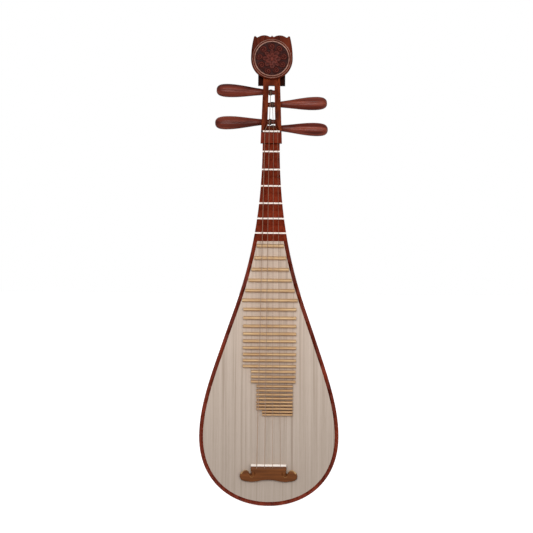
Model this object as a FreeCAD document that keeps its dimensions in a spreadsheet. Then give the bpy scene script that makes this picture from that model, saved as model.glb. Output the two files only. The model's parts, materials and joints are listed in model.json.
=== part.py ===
import FreeCAD, Part
import math
import os

import Sketcher

# A pipa, the pear-shaped Chinese lute: a carved rosewood back and neck, a planked paulownia
# soundboard let into it, six neck frets, twenty-seven soundboard frets, four strings from the
# tailpiece bridge over the nut to four tapered friction pegs, and a carved head.
# Millimetres. +Z runs from the tail to the head, the front faces -Y, +X is the viewer's right.
# The origin is the tail end of the body on its centreline, in the plane of the soundboard.

PIN_COUNT = 27
# the last pin of each group that shares one reach: to the rim, wide, short, shorter
PIN_GROUPS = (6, 15, 18, 25)
# control points of a cubic span, its first one shared with the span before
SPAN_STARTS = (0, 3, 6)
FULL_TURN = 360
FIRST_PIN_STEP = 7
XIANG_COUNT = 6
EPS = 1e-6
VOLUME_TOLERANCE = 0.01

DIMENSIONS = {
    # plan outline of one half of the body and neck, three cubic spans from the tail upward
    "body_half_width": 151.5,
    "widest_height": 150.5,
    "tail_roundness": 82.5,
    "lower_bout_roundness": 96.5,
    "upper_bout_roundness": 69.9,
    "flank_half_width": 96.5,
    "flank_height": 371.9,
    "flank_lean": 18.7,
    "flank_run_below": 84.5,
    "flank_run_above": 77.8,
    "neck_half_width": 18.6,
    "neck_straight_run": 220.9,
    # depth of the back, measured from the soundboard plane
    "body_depth": 46.0,
    "tail_depth": 42.0,
    "flank_depth": 38.0,
    "flank_depth_fall": 0.05,
    "neck_depth": 28.0,
    "side_fullness": 0.70,
    "back_fullness": 0.66,
    # soundboard, its rebate and the hollow behind it
    "rim_width": 8.5,
    "ledge_width": 5.5,
    "board_thickness": 6.0,
    "board_clearance": 0.05,
    "back_wall": 7.0,
    "hollow_top_margin": 32.0,
    "plank_joint_one": -102.0,
    "plank_joint_two": -64.0,
    "plank_joint_three": -36.0,
    "plank_joint_four": -8.0,
    "plank_joint_five": 40.0,
    "plank_joint_six": 66.0,
    "plank_joint_seven": 104.0,
    "sound_hole_radius": 5.0,
    "sound_hole_drop": 20.0,
    # what holds the board up inside
    "brace_width": 9.0,
    "brace_depth": 11.0,
    "brace_low": 185.0,
    "brace_mid": 300.0,
    "brace_high": 415.0,
    "post_radius": 5.0,
    "post_height": 118.0,
    "post_offset": 22.0,
    # strings
    "saddle_line": 88.5,
    "speaking_length": 724.0,
    "string_height": 16.0,
    "string_lift": 0.2,
    "string_dia_one": 0.7,
    "string_dia_two": 0.9,
    "string_dia_three": 1.2,
    "string_dia_four": 1.5,
    "nut_spacing": 9.2,
    "saddle_spacing": 17.1,
    "nut_bend_radius": 1.5,
    "nut_bend_offset": 0.2,
    "saddle_bend_radius": 2.0,
    "saddle_bend_offset": 0.3,
    "string_hole_clearance": 0.15,
    "string_tail_run": 11.0,
    "string_tail_drop": 7.5,
    "winding_gap": 0.3,
    "winding_length": 8.0,
    # nut and the pillow block below it
    "nut_width": 37.0,
    "nut_thickness": 3.9,
    "nut_shoulder": 1.2,
    "nut_crest_share": 0.4,
    "pillow_length": 23.6,
    "pillow_string_gap": 2.4,
    "pillow_crown": 1.6,
    "pillow_crown_start": 0.35,
    "pillow_crown_end": 0.75,
    # neck frets: how far each crest stands below its equal-tempered place
    "xiang_shift_one": 3.0,
    "xiang_shift_two": 3.7,
    "xiang_shift_three": 3.0,
    "xiang_shift_four": 6.4,
    "xiang_shift_five": 7.3,
    "xiang_shift_six": 8.3,
    "xiang_end_run": 17.3,
    "xiang_lead": 1.5,
    "xiang_string_gap": 1.7,
    "xiang_edge": 1.6,
    "strip_width": 3.7,
    "strip_thickness": 1.3,
    # soundboard frets
    "fret_top_offset": 13.5,
    "fret_saddle_offset": 4.9,
    "pin_base_first": 8.5,
    "pin_last_spacing_gap": 0.6,
    "pin_crest_first": 3.4,
    "pin_crest_last": 3.0,
    "pin_gap_first": 2.4,
    "pin_gap_last": 4.4,
    "pin_end_round": 1.4,
    "pin_rim_gap": 0.6,
    "pin_middle_half": 57.6,
    "pin_left_short": 39.5,
    "pin_left_shorter": 27.5,
    "pin_left_last": 15.0,
    "pin_right_upper": 57.0,
    "pin_right_lower": 51.0,
    # tailpiece bridge and its bone saddle
    "bridge_block_half": 38.5,
    "bridge_half_width": 62.5,
    "bridge_length": 33.0,
    "bridge_step": 1.6,
    "bridge_foot_height": 8.5,
    "bridge_bevel_run": 6.0,
    "bridge_foot_overrun": 2.0,
    "foot_arch_rise": 4.0,
    "foot_arch_bend": 3.2,
    "foot_arch_end": 0.9,
    "foot_arch_half": 24.0,
    "foot_lobe_half": 40.0,
    "foot_lobe_drop": 0.4,
    "wing_top_drop": 8.0,
    "wing_foot_inset": 7.0,
    "wing_foot_rise": 2.0,
    "wing_tip_rise": 12.0,
    "wing_shoulder_inset": 6.0,
    "wing_shoulder_drop": 3.0,
    "wing_crown_inset": 12.0,
    "wing_hook_run": 4.5,
    "wing_hook_drop": 3.6,
    "wing_notch_run": 1.4,
    "wing_notch_drop": 7.0,
    "wing_notch_side": 2.0,
    "saddle_thickness": 5.0,
    "saddle_crest_half": 0.7,
    "saddle_slope": 1.6,
    # pegbox
    "pegbox_half_foot": 23.2,
    "pegbox_half_top": 18.6,
    "pegbox_length": 99.0,
    "pegbox_tongue_length": 20.0,
    "pegbox_front_foot": -12.0,
    "pegbox_front_top": 12.5,
    "pegbox_back_foot": 29.0,
    "pegbox_back_top": 50.0,
    "tongue_depth": 18.0,
    "pegbox_back_round": 7.0,
    "slot_half_top": 6.2,
    "slot_half_foot": 9.1,
    "slot_plan_overrun": 10.0,
    "slot_front_start": 12.0,
    "slot_back_start": 34.0,
    "ramp_half_width": 17.5,
    "ramp_overrun": 20.0,
    "ramp_end_rise": 7.2,
    "ramp_end_depth": 5.0,
    "flare_rise": 26.0,
    "pocket_depth": 23.0,
    # friction pegs: rise of each axis above the nut, at the centreline. The fourth
    # peg lies just above the first, its shaft clear of the first one's by a gap
    "peg_rise_one": 8.4,
    "peg_rise_two": 59.2,
    "peg_rise_three": 86.2,
    "peg_shaft_gap": 1.4,
    "peg_axis_depth": 14.5,
    "peg_axis_slope": 0.19,
    "peg_splay_upper": 2.1,
    "peg_splay_lower": 1.6,
    "peg_entry_radius": 5.9,
    "peg_taper": 0.035,
    "peg_clearance": 0.05,
    "peg_root_gap": 1.0,
    "peg_far_wall": 3.0,
    "bore_overrun": 6.0,
    "peg_root_radius": 6.8,
    "peg_swell_radius": 14.9,
    "peg_swell_run": 73.0,
    "peg_handle_length": 100.0,
    "peg_dome_run": 0.63,
    "peg_dome_share": 0.77,
    "winding_offset_one": 3.5,
    "winding_offset_two": 2.0,
    "winding_offset_three": -2.0,
    "winding_offset_four": -3.0,
    # head
    "head_rise": 159.0,
    "head_radius": 45.4,
    "head_front": 9.0,
    "head_thickness": 28.0,
    "head_top_rise": 46.0,
    "head_top_half": 39.5,
    "head_tip_half": 36.0,
    "head_notch_half": 31.5,
    "head_hump_half": 17.5,
    "head_valley_half": 4.5,
    "head_tip_rise": 48.8,
    "head_notch_rise": 45.6,
    "head_hump_rise": 50.6,
    "head_valley_rise": 47.2,
    "head_point_rise": 51.2,
    "head_tip_bow_out": 0.5,
    "head_tip_bow_up": 0.9,
    "head_dip_in": 0.4,
    "head_dip_down": 0.7,
    "head_root_in": 0.7,
    "head_root_down": 0.8,
    "medallion_pocket_radius": 38.6,
    "medallion_pocket_depth": 6.0,
    "medallion_thickness": 3.4,
    "boss_lift": 1.0,
    "ring_width": 2.4,
    "ring_proud": 1.3,
    "ring_slope_share": 0.3,
    "ring_line_radius": 41.8,
    "ring_line_size": 0.7,
    "collar_half_width": 29.5,
    "collar_length": 24.0,
    "collar_depth": 25.0,
    "collar_round": 3.0,
    "fit_gap": 0.05,
}

STRINGS = (1, 2, 3, 4)
STRING_WORDS = ("one", "two", "three", "four")
XIANG_WORDS = ("one", "two", "three", "four", "five", "six")
PLANK_WORDS = ("one", "two", "three", "four", "five", "six", "seven")

doc = FreeCAD.newDocument("Pipa")
nodes = {}


def make_sheet():
    """The driving dimensions, one per row, each with its alias."""
    page = doc.addObject("Spreadsheet::Sheet", "Dims")
    for row, (alias, value) in enumerate(DIMENSIONS.items(), start=1):
        page.set(f"A{row}", alias)
        page.set(f"B{row}", str(value))
        page.setAlias(f"B{row}", alias)
    doc.recompute()
    return page


sheet = make_sheet()


def dim(alias):
    """A driving dimension, read from the sheet."""
    return float(sheet.get(alias))


def vec(x, y, z):
    return FreeCAD.Vector(x, y, z)


def keep(obj, name):
    """Make an object one of the instrument's nodes."""
    obj.Label = name
    nodes[name] = obj
    return obj


def feature(name, shape, place=None):
    """A sub-part whose form is set with Part's own functions."""
    obj = doc.addObject("Part::Feature", name)
    obj.Shape = shape
    obj.Placement = place or FreeCAD.Placement()
    return obj


# ---- places that several pieces share, worked out from the driving dimensions ----



def xiang_drop(number):
    """How far a xiang's crest is below the nut: its tempered step and its own shift."""
    tempered = f"Dims.speaking_length * (1 - 2^(0 - {number}/12))"
    return f"({tempered} + Dims.xiang_shift_{XIANG_WORDS[number - 1]})"


NUT = "(Dims.saddle_line + Dims.speaking_length)"
PILLOW_FOOT = f"({NUT} - Dims.nut_thickness / 2 - Dims.pillow_length)"
NUT_BACK = f"({NUT} + Dims.nut_thickness / 2)"
PILLOW_HEIGHT = "(Dims.string_height - Dims.pillow_string_gap)"
XIANG_HEIGHT = "(Dims.string_height - Dims.xiang_string_gap - Dims.strip_thickness)"
LAST_XIANG_FOOT = f"({NUT} - {xiang_drop(XIANG_COUNT)} - Dims.xiang_end_run)"
PEGBOX_TOP = f"({NUT_BACK} + Dims.pegbox_length)"


def value_of(expression):
    """The number that an expression over the sheet gives now."""
    return float(sheet.evalExpression(expression.replace("Dims.", "")))


nut_line = dim("saddle_line") + dim("speaking_length")
nut_back = nut_line + dim("nut_thickness") / 2
neck_end = nut_line - dim("nut_thickness") / 2 - dim("pillow_length")
board_top = value_of(LAST_XIANG_FOOT)
pegbox_top = nut_back + dim("pegbox_length")
head_centre = nut_line + dim("head_rise")


# ---- sketches and the solids made from them ----


def outline_sketch(points, name, body=None, role=None):
    """A closed outline of straight sides; each corner is held by two expressions."""
    if body:
        sketch = body.newObject("Sketcher::SketchObject", name)
        plane = next(p for p in body.Origin.OriginFeatures if p.Role == role)
        sketch.AttachmentSupport = [(plane, "")]
        sketch.MapMode = "FlatFace"
    else:
        sketch = doc.addObject("Sketcher::SketchObject", name)
    corners = [vec(value_of(u), value_of(v), 0) for u, v in points]
    for index, corner in enumerate(corners):
        following = corners[(index + 1) % len(corners)]
        sketch.addGeometry(Part.LineSegment(corner, following))
    for index in range(len(corners)):
        following = (index + 1) % len(corners)
        sketch.addConstraint(Sketcher.Constraint("Coincident", index, 2, following, 1))
    for index, (u, v) in enumerate(points):
        for kind, expression, number in (
            ("DistanceX", u, corners[index].x),
            ("DistanceY", v, corners[index].y),
        ):
            held = Sketcher.Constraint(kind, -1, 1, index, 1, number)
            place = sketch.addConstraint(held)
            sketch.setExpression(f"Constraints[{place}]", expression)
    return sketch


SIDE_VIEW = FreeCAD.Rotation(vec(0, 1, 0), vec(0, 0, 1), vec(1, 0, 0), "ZXY")
FRONT_VIEW = FreeCAD.Rotation(vec(1, 0, 0), vec(0, 0, 1), vec(0, -1, 0), "ZXY")


def side_prism(name, points, half_width):
    """A (y, z) outline given thickness along X, the same both ways from the centreline."""
    sketch = outline_sketch(points, name + "_side")
    sketch.Placement = FreeCAD.Placement(vec(0, 0, 0), SIDE_VIEW)
    prism = doc.addObject("Part::Extrusion", name)
    prism.Base = sketch
    prism.DirMode = "Custom"
    prism.Dir = vec(1, 0, 0)
    prism.Solid = True
    prism.setExpression("LengthFwd", half_width)
    prism.setExpression("LengthRev", half_width)
    return prism


def front_prism(name, points, front, back):
    """An (x, z) outline given thickness along Y, from front to back."""
    sketch = outline_sketch(points, name + "_front")
    sketch.Placement = FreeCAD.Placement(vec(0, 0, 0), FRONT_VIEW)
    prism = doc.addObject("Part::Extrusion", name)
    prism.Base = sketch
    prism.DirMode = "Custom"
    prism.Dir = vec(0, 1, 0)
    prism.Solid = True
    prism.setExpression("LengthRev", f"0 - ({front})")
    prism.setExpression("LengthFwd", back)
    return prism


def combine(kind, name, base, tool):
    """A Part::Cut or Part::Common of two objects."""
    obj = doc.addObject(kind, name)
    obj.Base = base
    obj.Tool = tool
    return obj


# ---- the body: outline, back, soundboard and what is inside ----


def half_outline():
    """Control points (x, z) of the right half's outline, three cubic spans."""
    lean = math.radians(dim("flank_lean"))
    side = dim("body_half_width")
    waist = dim("widest_height")
    flank_x = dim("flank_half_width")
    flank_z = dim("flank_height")
    below = dim("flank_run_below")
    above = dim("flank_run_above")
    neck = dim("neck_half_width")
    return [
        (0.0, 0.0),
        (dim("tail_roundness"), 0.0),
        (side, waist - dim("lower_bout_roundness")),
        (side, waist),
        (side, waist + dim("upper_bout_roundness")),
        (flank_x + below * math.sin(lean), flank_z - below * math.cos(lean)),
        (flank_x, flank_z),
        (flank_x - above * math.sin(lean), flank_z + above * math.cos(lean)),
        (neck, neck_end - dim("neck_straight_run")),
        (neck, neck_end),
    ]


def depth_rows():
    """Depth of the back at the rows of the outline's control points."""
    full = dim("body_depth")
    flank = dim("flank_depth")
    fall = dim("flank_depth_fall")
    return [
        0.0,
        dim("tail_depth"),
        full,
        full,
        full,
        flank + fall * dim("flank_run_below"),
        flank,
        flank - fall * dim("flank_run_above"),
        dim("neck_depth"),
        dim("neck_depth"),
    ]


def bowl(outline, depths):
    """A solid with a flat front at y = 0 and a rounded back, on the given outline."""
    side = dim("side_fullness")
    crown = dim("back_fullness")
    poles = []
    for (x, z), deep in zip(outline, depths):
        half = [vec(x, 0, z), vec(x, side * deep, z), vec(crown * x, deep, z)]
        other = [vec(-p.x, p.y, p.z) for p in reversed(half)]
        poles.append(half + [vec(0, deep, z)] + other)
    surface = Part.BSplineSurface()
    surface.buildFromPolesMultsKnots(
        poles, [4, 3, 3, 4], [4, 3, 4], [0, 1, 2, 3], [0, 1, 2], False, False, 3, 3
    )
    right = surface.vIso(0).toShape()
    left = surface.vIso(2).toShape()
    arch = surface.uIso(3).toShape()
    (x, z) = outline[-1]
    edge = Part.makeLine(vec(x, 0, z), vec(-x, 0, z))
    front = Part.Face(Part.Wire(Part.__sortEdges__([right, edge, left])))
    end = Part.Face(Part.Wire(Part.__sortEdges__([arch, edge])))
    skin = Part.makeShell([surface.toShape(), front, end])
    skin.sewShape()
    solid = Part.makeSolid(skin)
    if solid.Volume < 0:
        solid.reverse()
    return solid


def inset_outline(distance):
    """The half outline moved inward by a distance, span by span.

    End points move along the normal, and each end's handle is scaled by one less the
    distance times the curvature there, as the true parallel curve's speed is.
    """
    points = [vec(x, 0, z) for x, z in half_outline()]
    moved = []
    for start in SPAN_STARTS:
        first, second, third, last = points[start : start + 4]
        entry, entry_handle = inset_end(first, second, third, distance, 1)
        leave, leave_handle = inset_end(last, third, second, distance, -1)
        moved += [entry, entry_handle, leave_handle]
    moved.append(leave)
    return [(p.x, p.z) for p in moved]


def inset_end(end, handle, beyond, distance, sense):
    """One end of a span and its handle, moved inward. Sense is -1 at a span's far end."""
    run = handle - end
    along = vec(run.x, 0, run.z).normalize()
    inward = vec(-along.z, 0, along.x) * sense
    following = beyond - handle
    cross = (run.x * following.z - run.z * following.x) * sense
    curvature = 2 / 3 * cross / run.Length**3
    moved = end + inward * distance
    return moved, moved + along * (run.Length * (1 - distance * curvature))


def hollow_net():
    """Outline and depths of the hollow, the back's wall inside the outer form."""
    wall = dim("back_wall")
    outline = inset_outline(dim("rim_width") + dim("ledge_width"))
    depths = [max(0.0, deep - wall) for deep in depth_rows()]
    return outline, depths


def plan_wire(inset):
    """The closed plan outline of the body and neck, or one parallel to it inside."""
    right = [vec(x, 0, z) for x, z in inset_outline(inset)]
    left = [vec(-p.x, 0, p.z) for p in right]
    edges = []
    for points in (right, left):
        for start in SPAN_STARTS:
            curve = Part.BezierCurve()
            curve.setPoles(points[start : start + 4])
            edges.append(curve.toShape())
    edges.append(Part.makeLine(right[-1], left[-1]))
    return Part.Wire(Part.__sortEdges__(edges))


def board_shape(clearance, thickness):
    """The soundboard's blank: the outline inside the rim, cut off below the last xiang."""
    inner = plan_wire(dim("rim_width") + clearance)
    blank = Part.Face(inner).extrude(vec(0, thickness, 0))
    wide = dim("body_half_width")
    cut_off = board_top - clearance
    below = Part.makeBox(2 * wide, 2 * thickness, cut_off, vec(-wide, -thickness / 2, 0))
    return blank.common(below)


def half_width_at(height):
    """Half width of the plan outline at one height, by halving the span that holds it."""
    points = half_outline()
    for start in SPAN_STARTS:
        if points[start + 3][1] >= height:
            break
    curve = Part.BezierCurve()
    curve.setPoles([vec(x, 0, z) for x, z in points[start : start + 4]])
    low = 0.0
    high = 1.0
    while high - low > EPS:
        middle = (low + high) / 2
        if curve.value(middle).z < height:
            low = middle
        else:
            high = middle
    return curve.value(low).x


def make_back():
    """The carved back and neck, one piece of rosewood, hollowed behind the soundboard."""
    outer = bowl(half_outline(), depth_rows())
    outline, depths = hollow_net()
    wide = dim("body_half_width")
    hollow_top = board_top - dim("hollow_top_margin")
    room = Part.makeBox(2 * wide, 2 * dim("body_depth"), hollow_top, vec(-wide, 0, 0))
    hollow = bowl(outline, depths).common(room)
    rebate = board_shape(0.0, dim("board_thickness"))
    keep(feature("back_shell", outer.cut(hollow).cut(rebate)), "back_shell")
    return hollow


def make_soundboard():
    """Eight planks, edge to edge, with a small sound hole hidden under the bridge."""
    thick = dim("board_thickness")
    board = board_shape(dim("board_clearance"), thick)
    hole_at = vec(0, -thick, dim("saddle_line") - dim("sound_hole_drop"))
    hole = Part.makeCylinder(dim("sound_hole_radius"), 3 * thick, hole_at, vec(0, 1, 0))
    board = board.cut(hole)
    wide = dim("body_half_width")
    joints = [-wide] + [dim("plank_joint_" + word) for word in PLANK_WORDS] + [wide]
    planks = []
    for left, right in zip(joints, joints[1:]):
        strip = Part.makeBox(right - left, 2 * thick, board_top, vec(left, -thick / 2, 0))
        planks.extend(board.common(strip).Solids)
    keep(feature("soundboard", Part.Compound(planks)), "soundboard")


def make_supports(hollow):
    """Three braces glued under the board and the post between board and back."""
    thick = dim("board_thickness")
    wide = dim("body_half_width")
    braces = []
    for alias in ("brace_low", "brace_mid", "brace_high"):
        corner = vec(-wide, thick, dim(alias) - dim("brace_width") / 2)
        bar = Part.makeBox(2 * wide, dim("brace_depth"), dim("brace_width"), corner)
        braces.extend(bar.common(hollow).Solids)
    keep(feature("soundboard_braces", Part.Compound(braces)), "soundboard_braces")
    foot = vec(dim("post_offset"), thick, dim("post_height"))
    post = Part.makeCylinder(dim("post_radius"), dim("body_depth"), foot, vec(0, 1, 0))
    keep(feature("sound_post", post.common(hollow)), "sound_post")


# ---- frets ----


def neck_prism():
    """The plan outline drawn forward, which trims the neck frets flush with the neck."""
    deep = 2 * dim("string_height")
    blank = Part.Face(plan_wire(0.0)).extrude(vec(0, -deep, 0))
    return feature("neck_trim", blank)


def make_xiang(trim):
    """Six ridged blocks along the neck, touching end to end, each with a bone strip."""
    crests = [f"({NUT} - {xiang_drop(number)})" for number in range(1, XIANG_COUNT + 1)]
    joints = [PILLOW_FOOT]
    for upper, lower in zip(crests, crests[1:]):
        joints.append(f"(({upper} + {lower}) / 2 + Dims.xiang_lead)")
    joints.append(LAST_XIANG_FOOT)
    half_width = "Dims.body_half_width"
    strips = []
    for index, crest in enumerate(crests):
        upper = joints[index]
        lower = joints[index + 1]
        half_strip = "Dims.strip_width / 2"
        ridge = [
            ("0", lower),
            ("0 - Dims.xiang_edge", lower),
            (f"0 - {XIANG_HEIGHT}", f"{crest} - {half_strip}"),
            (f"0 - {XIANG_HEIGHT}", f"{crest} + {half_strip}"),
            ("0 - Dims.xiang_edge", upper),
            ("0", upper),
        ]
        name = f"xiang_{index + 1}"
        block = side_prism(name + "_blank", ridge, half_width)
        keep(combine("Part::Common", name, block, trim), name)
        top = f"0 - {XIANG_HEIGHT} - Dims.strip_thickness"
        cap = [
            (f"0 - {XIANG_HEIGHT}", f"{crest} - {half_strip}"),
            (top, f"{crest} - {half_strip} * 0.8"),
            (top, f"{crest} + {half_strip} * 0.8"),
            (f"0 - {XIANG_HEIGHT}", f"{crest} + {half_strip}"),
        ]
        blank = side_prism(f"strip_{index + 1}_blank", cap, half_width)
        strips.append(combine("Part::Common", f"strip_{index + 1}", blank, trim))
    group = doc.addObject("Part::Compound", "xiang_strips")
    group.Links = strips
    keep(group, "xiang_strips")


def pin_reach(number):
    """Expressions for how far a pin reaches to the viewer's left and right."""
    if number <= PIN_GROUPS[0]:
        height = value_of(pin_line(number)) + dim("pin_base_first") / 2
        reach = half_width_at(height) - dim("rim_width") - dim("pin_rim_gap")
        return f"{reach:.3f}", f"{reach:.3f}"
    if number <= PIN_GROUPS[1]:
        return "Dims.pin_middle_half", "Dims.pin_middle_half"
    if number <= PIN_GROUPS[2]:
        return "Dims.pin_left_short", "Dims.pin_right_upper"
    if number <= PIN_GROUPS[3]:
        return "Dims.pin_left_shorter", "Dims.pin_right_lower"
    return "Dims.pin_left_last", "Dims.pin_right_lower"


def pin_line(number):
    """Height of a pin: equal-tempered steps between the string's two ends."""
    step = number + FIRST_PIN_STEP - 1
    foot = "(Dims.saddle_line + Dims.fret_saddle_offset)"
    top = f"({NUT} - Dims.fret_top_offset)"
    return f"({foot} + ({top} - {foot}) * 2^(0 - {step}/12))"


def between(first, last, number):
    """A size that changes evenly from the first pin to the last."""
    share = (number - 1) / (PIN_COUNT - 1)
    return f"({first} + ({last} - {first}) * {share:.4f})"


def make_pins():
    """Bamboo frets on the soundboard, trapezoid bars with rounded top ends."""
    last_spacing = f"({pin_line(PIN_COUNT - 1)} - {pin_line(PIN_COUNT)})"
    last_base = f"({last_spacing} - Dims.pin_last_spacing_gap)"
    for number in range(1, PIN_COUNT + 1):
        name = f"pin_{number:02d}"
        body = doc.addObject("PartDesign::Body", name)
        base = between("Dims.pin_base_first", last_base, number) + " / 2"
        crest = between("Dims.pin_crest_first", "Dims.pin_crest_last", number) + " / 2"
        gap = between("Dims.pin_gap_first", "Dims.pin_gap_last", number)
        tall = gap + " - Dims.string_height"
        section = [("0", "0 - " + base), (tall, "0 - " + crest), (tall, crest), ("0", base)]
        sketch = outline_sketch(section, name + "_section", body, "YZ_Plane")
        left, right = pin_reach(number)
        pad = body.newObject("PartDesign::Pad", name + "_pad")
        pad.Profile = sketch
        pad.setExpression("Length", f"{left} + {right}")
        body.setExpression("Placement.Base.x", f"0 - {left}")
        body.setExpression("Placement.Base.z", pin_line(number))
        doc.recompute()
        front = pad.Shape.BoundBox.YMin
        ends = []
        for place, edge in enumerate(pad.Shape.Edges, start=1):
            box = edge.BoundBox
            if box.YMax < front + EPS and box.XLength < EPS:
                ends.append(f"Edge{place}")
        rounding = body.newObject("PartDesign::Fillet", name + "_ends")
        rounding.Base = (pad, ends)
        rounding.setExpression("Radius", "Dims.pin_end_round")
        keep(body, name)


# ---- nut, pillow, bridge ----


def make_nut():
    """The bone nut, a bar with its crest rounded."""
    body = doc.addObject("PartDesign::Body", "nut")
    half = "Dims.nut_thickness / 2"
    crest = "0 - Dims.string_height"
    shoulder = f"{crest} + Dims.nut_shoulder"
    section = [
        ("0", f"0 - {half}"),
        (shoulder, f"0 - {half}"),
        (crest, f"0 - {half} * Dims.nut_crest_share"),
        (crest, f"{half} * Dims.nut_crest_share"),
        (shoulder, half),
        ("0", half),
    ]
    sketch = outline_sketch(section, "nut_section", body, "YZ_Plane")
    pad = body.newObject("PartDesign::Pad", "nut_pad")
    pad.Profile = sketch
    pad.setExpression("Length", "Dims.nut_width")
    body.setExpression("Placement.Base.x", "0 - Dims.nut_width / 2")
    body.setExpression("Placement.Base.z", NUT)
    keep(body, "nut")


def pegbox_half(height):
    """Half width of the pegbox and pillow at a height, an even taper."""
    run = f"({PEGBOX_TOP} - {PILLOW_FOOT})"
    share = f"(({height}) - {PILLOW_FOOT}) / {run}"
    return f"(Dims.pegbox_half_foot + (Dims.pegbox_half_top - Dims.pegbox_half_foot) * {share})"


def make_pillow():
    """The phoenix pillow, a crowned block in front of the neck's top, below the nut."""
    top = f"({NUT} - Dims.nut_thickness / 2)"
    crown = f"0 - {PILLOW_HEIGHT}"
    edge = f"{crown} + Dims.pillow_crown"
    side = [
        ("0", PILLOW_FOOT),
        (edge, PILLOW_FOOT),
        (crown, f"{PILLOW_FOOT} + Dims.pillow_length * Dims.pillow_crown_start"),
        (crown, f"{PILLOW_FOOT} + Dims.pillow_length * Dims.pillow_crown_end"),
        (edge, top),
        ("0", top),
    ]
    block = side_prism("pillow_blank", side, "Dims.body_half_width")
    plan = [
        (pegbox_half(PILLOW_FOOT), PILLOW_FOOT),
        (pegbox_half(top), top),
        (f"0 - {pegbox_half(top)}", top),
        (f"0 - {pegbox_half(PILLOW_FOOT)}", PILLOW_FOOT),
    ]
    trim = front_prism("pillow_plan", plan, f"0 - {PILLOW_HEIGHT} * 2", PILLOW_HEIGHT)
    keep(combine("Part::Common", "phoenix_pillow", block, trim), "phoenix_pillow")


def arc(first, middle, last):
    """An arc edge in the (x, z) plane through three points."""
    points = [vec(x, 0, z) for x, z in (first, middle, last)]
    return Part.Arc(*points).toShape()


def line(first, last):
    """A straight edge in the (x, z) plane."""
    return Part.makeLine(vec(first[0], 0, first[1]), vec(last[0], 0, last[1]))


def mirrored(edges):
    """The edges and their mirror image across the centreline."""
    plane = vec(1, 0, 0)
    return edges + [edge.mirror(vec(0, 0, 0), plane) for edge in edges]


def make_bridge():
    """The tailpiece bridge: a block with a scrolled wing at each end and a wavy foot."""
    top = dim("saddle_line") - dim("saddle_thickness") / 2
    foot = top - dim("bridge_length")
    block = dim("bridge_block_half")
    tip = dim("bridge_half_width")
    wing = top - dim("wing_top_drop")
    arch = dim("foot_arch_half")
    arch_end = (arch, foot + dim("foot_arch_end"))
    lobe = (dim("foot_lobe_half"), foot - dim("foot_lobe_drop"))
    wing_foot = (tip - dim("wing_foot_inset"), foot + dim("wing_foot_rise"))
    shoulder = (tip - dim("wing_shoulder_inset"), wing - dim("wing_shoulder_drop"))
    crown = (tip - dim("wing_crown_inset"), wing)
    hook = (block + dim("wing_hook_run"), wing - dim("wing_hook_drop"))
    notch = (block + dim("wing_notch_run"), wing - dim("wing_notch_drop"))
    side = (block, wing - dim("wing_notch_side"))
    arch_top = (0, foot + dim("foot_arch_rise"))
    half = [
        arc(arch_top, (arch / 2, foot + dim("foot_arch_bend")), arch_end),
        arc(arch_end, lobe, wing_foot),
        arc(wing_foot, (tip, foot + dim("wing_tip_rise")), shoulder),
        arc(shoulder, crown, hook),
        arc(hook, notch, side),
        line(side, (block, top)),
        line((block, top), (0, top)),
    ]
    plan = Part.Face(Part.Wire(Part.__sortEdges__(mirrored(half))))
    tall = dim("string_height") - dim("bridge_step")
    blank = plan.extrude(vec(0, -tall, 0))
    under = foot - dim("bridge_foot_overrun")
    slope = [
        vec(-tip, 0, under),
        vec(-tip, -dim("bridge_foot_height"), under),
        vec(-tip, -tall, top - dim("bridge_bevel_run")),
        vec(-tip, -tall, top),
        vec(-tip, 0, top),
    ]
    wedge = Part.Face(Part.makePolygon(slope + slope[:1])).extrude(vec(2 * tip, 0, 0))
    shape = blank.common(wedge)
    for number in STRINGS:
        start, crest = string_points(number)[:2]
        radius = string_dia(number) / 2 + dim("string_hole_clearance")
        along = (crest - start).normalize()
        hole = Part.makeCylinder(radius, 2 * dim("string_tail_run"), start - along * 0.5, along)
        shape = shape.cut(hole)
    keep(feature("bridge", shape), "bridge")


def make_saddle():
    """The bone strip on the bridge's upper edge, which the strings bear on."""
    body = doc.addObject("PartDesign::Body", "bridge_saddle")
    half = "Dims.saddle_thickness / 2"
    crest = "0 - Dims.string_height"
    section = [
        ("0", f"0 - {half}"),
        (f"{crest} + Dims.saddle_slope", f"0 - {half}"),
        (crest, "0 - Dims.saddle_crest_half"),
        (crest, "Dims.saddle_crest_half"),
        (f"{crest} + Dims.saddle_slope", half),
        ("0", half),
    ]
    sketch = outline_sketch(section, "saddle_section", body, "YZ_Plane")
    pad = body.newObject("PartDesign::Pad", "saddle_pad")
    pad.Profile = sketch
    pad.setExpression("Length", "2 * Dims.bridge_block_half")
    body.setExpression("Placement.Base.x", "0 - Dims.bridge_block_half")
    body.setExpression("Placement.Base.z", "Dims.saddle_line")
    keep(body, "bridge_saddle")


# ---- pegs, windings and strings. Number 1 is the thinnest, at the viewer's right ----

# peg number: side of the pegbox it enters from, and whether it splays upward
PEG_LAYOUT = {1: (1, False), 2: (1, True), 3: (-1, True), 4: (-1, False)}


def string_dia(number):
    return dim("string_dia_" + STRING_WORDS[number - 1])


def peg_rise(number):
    """Height of a peg's axis above the nut, at the centreline."""
    if number == 4:
        return peg_rise(1) + 2 * dim("peg_entry_radius") + dim("peg_shaft_gap")
    return dim("peg_rise_" + STRING_WORDS[number - 1])


def peg_centre(number):
    """Where a peg's axis crosses the centreline plane."""
    rise = peg_rise(number)
    depth = dim("peg_axis_depth") + dim("peg_axis_slope") * (rise - dim("peg_rise_one"))
    return vec(0, depth, nut_line + rise)


def peg_outward(number):
    """Unit vector along a peg's axis, from the pegbox out to the handle."""
    side, upper = PEG_LAYOUT[number]
    splay = dim("peg_splay_upper") if upper else -dim("peg_splay_lower")
    angle = math.radians(splay)
    return vec(side * math.cos(angle), 0, math.sin(angle))


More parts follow.
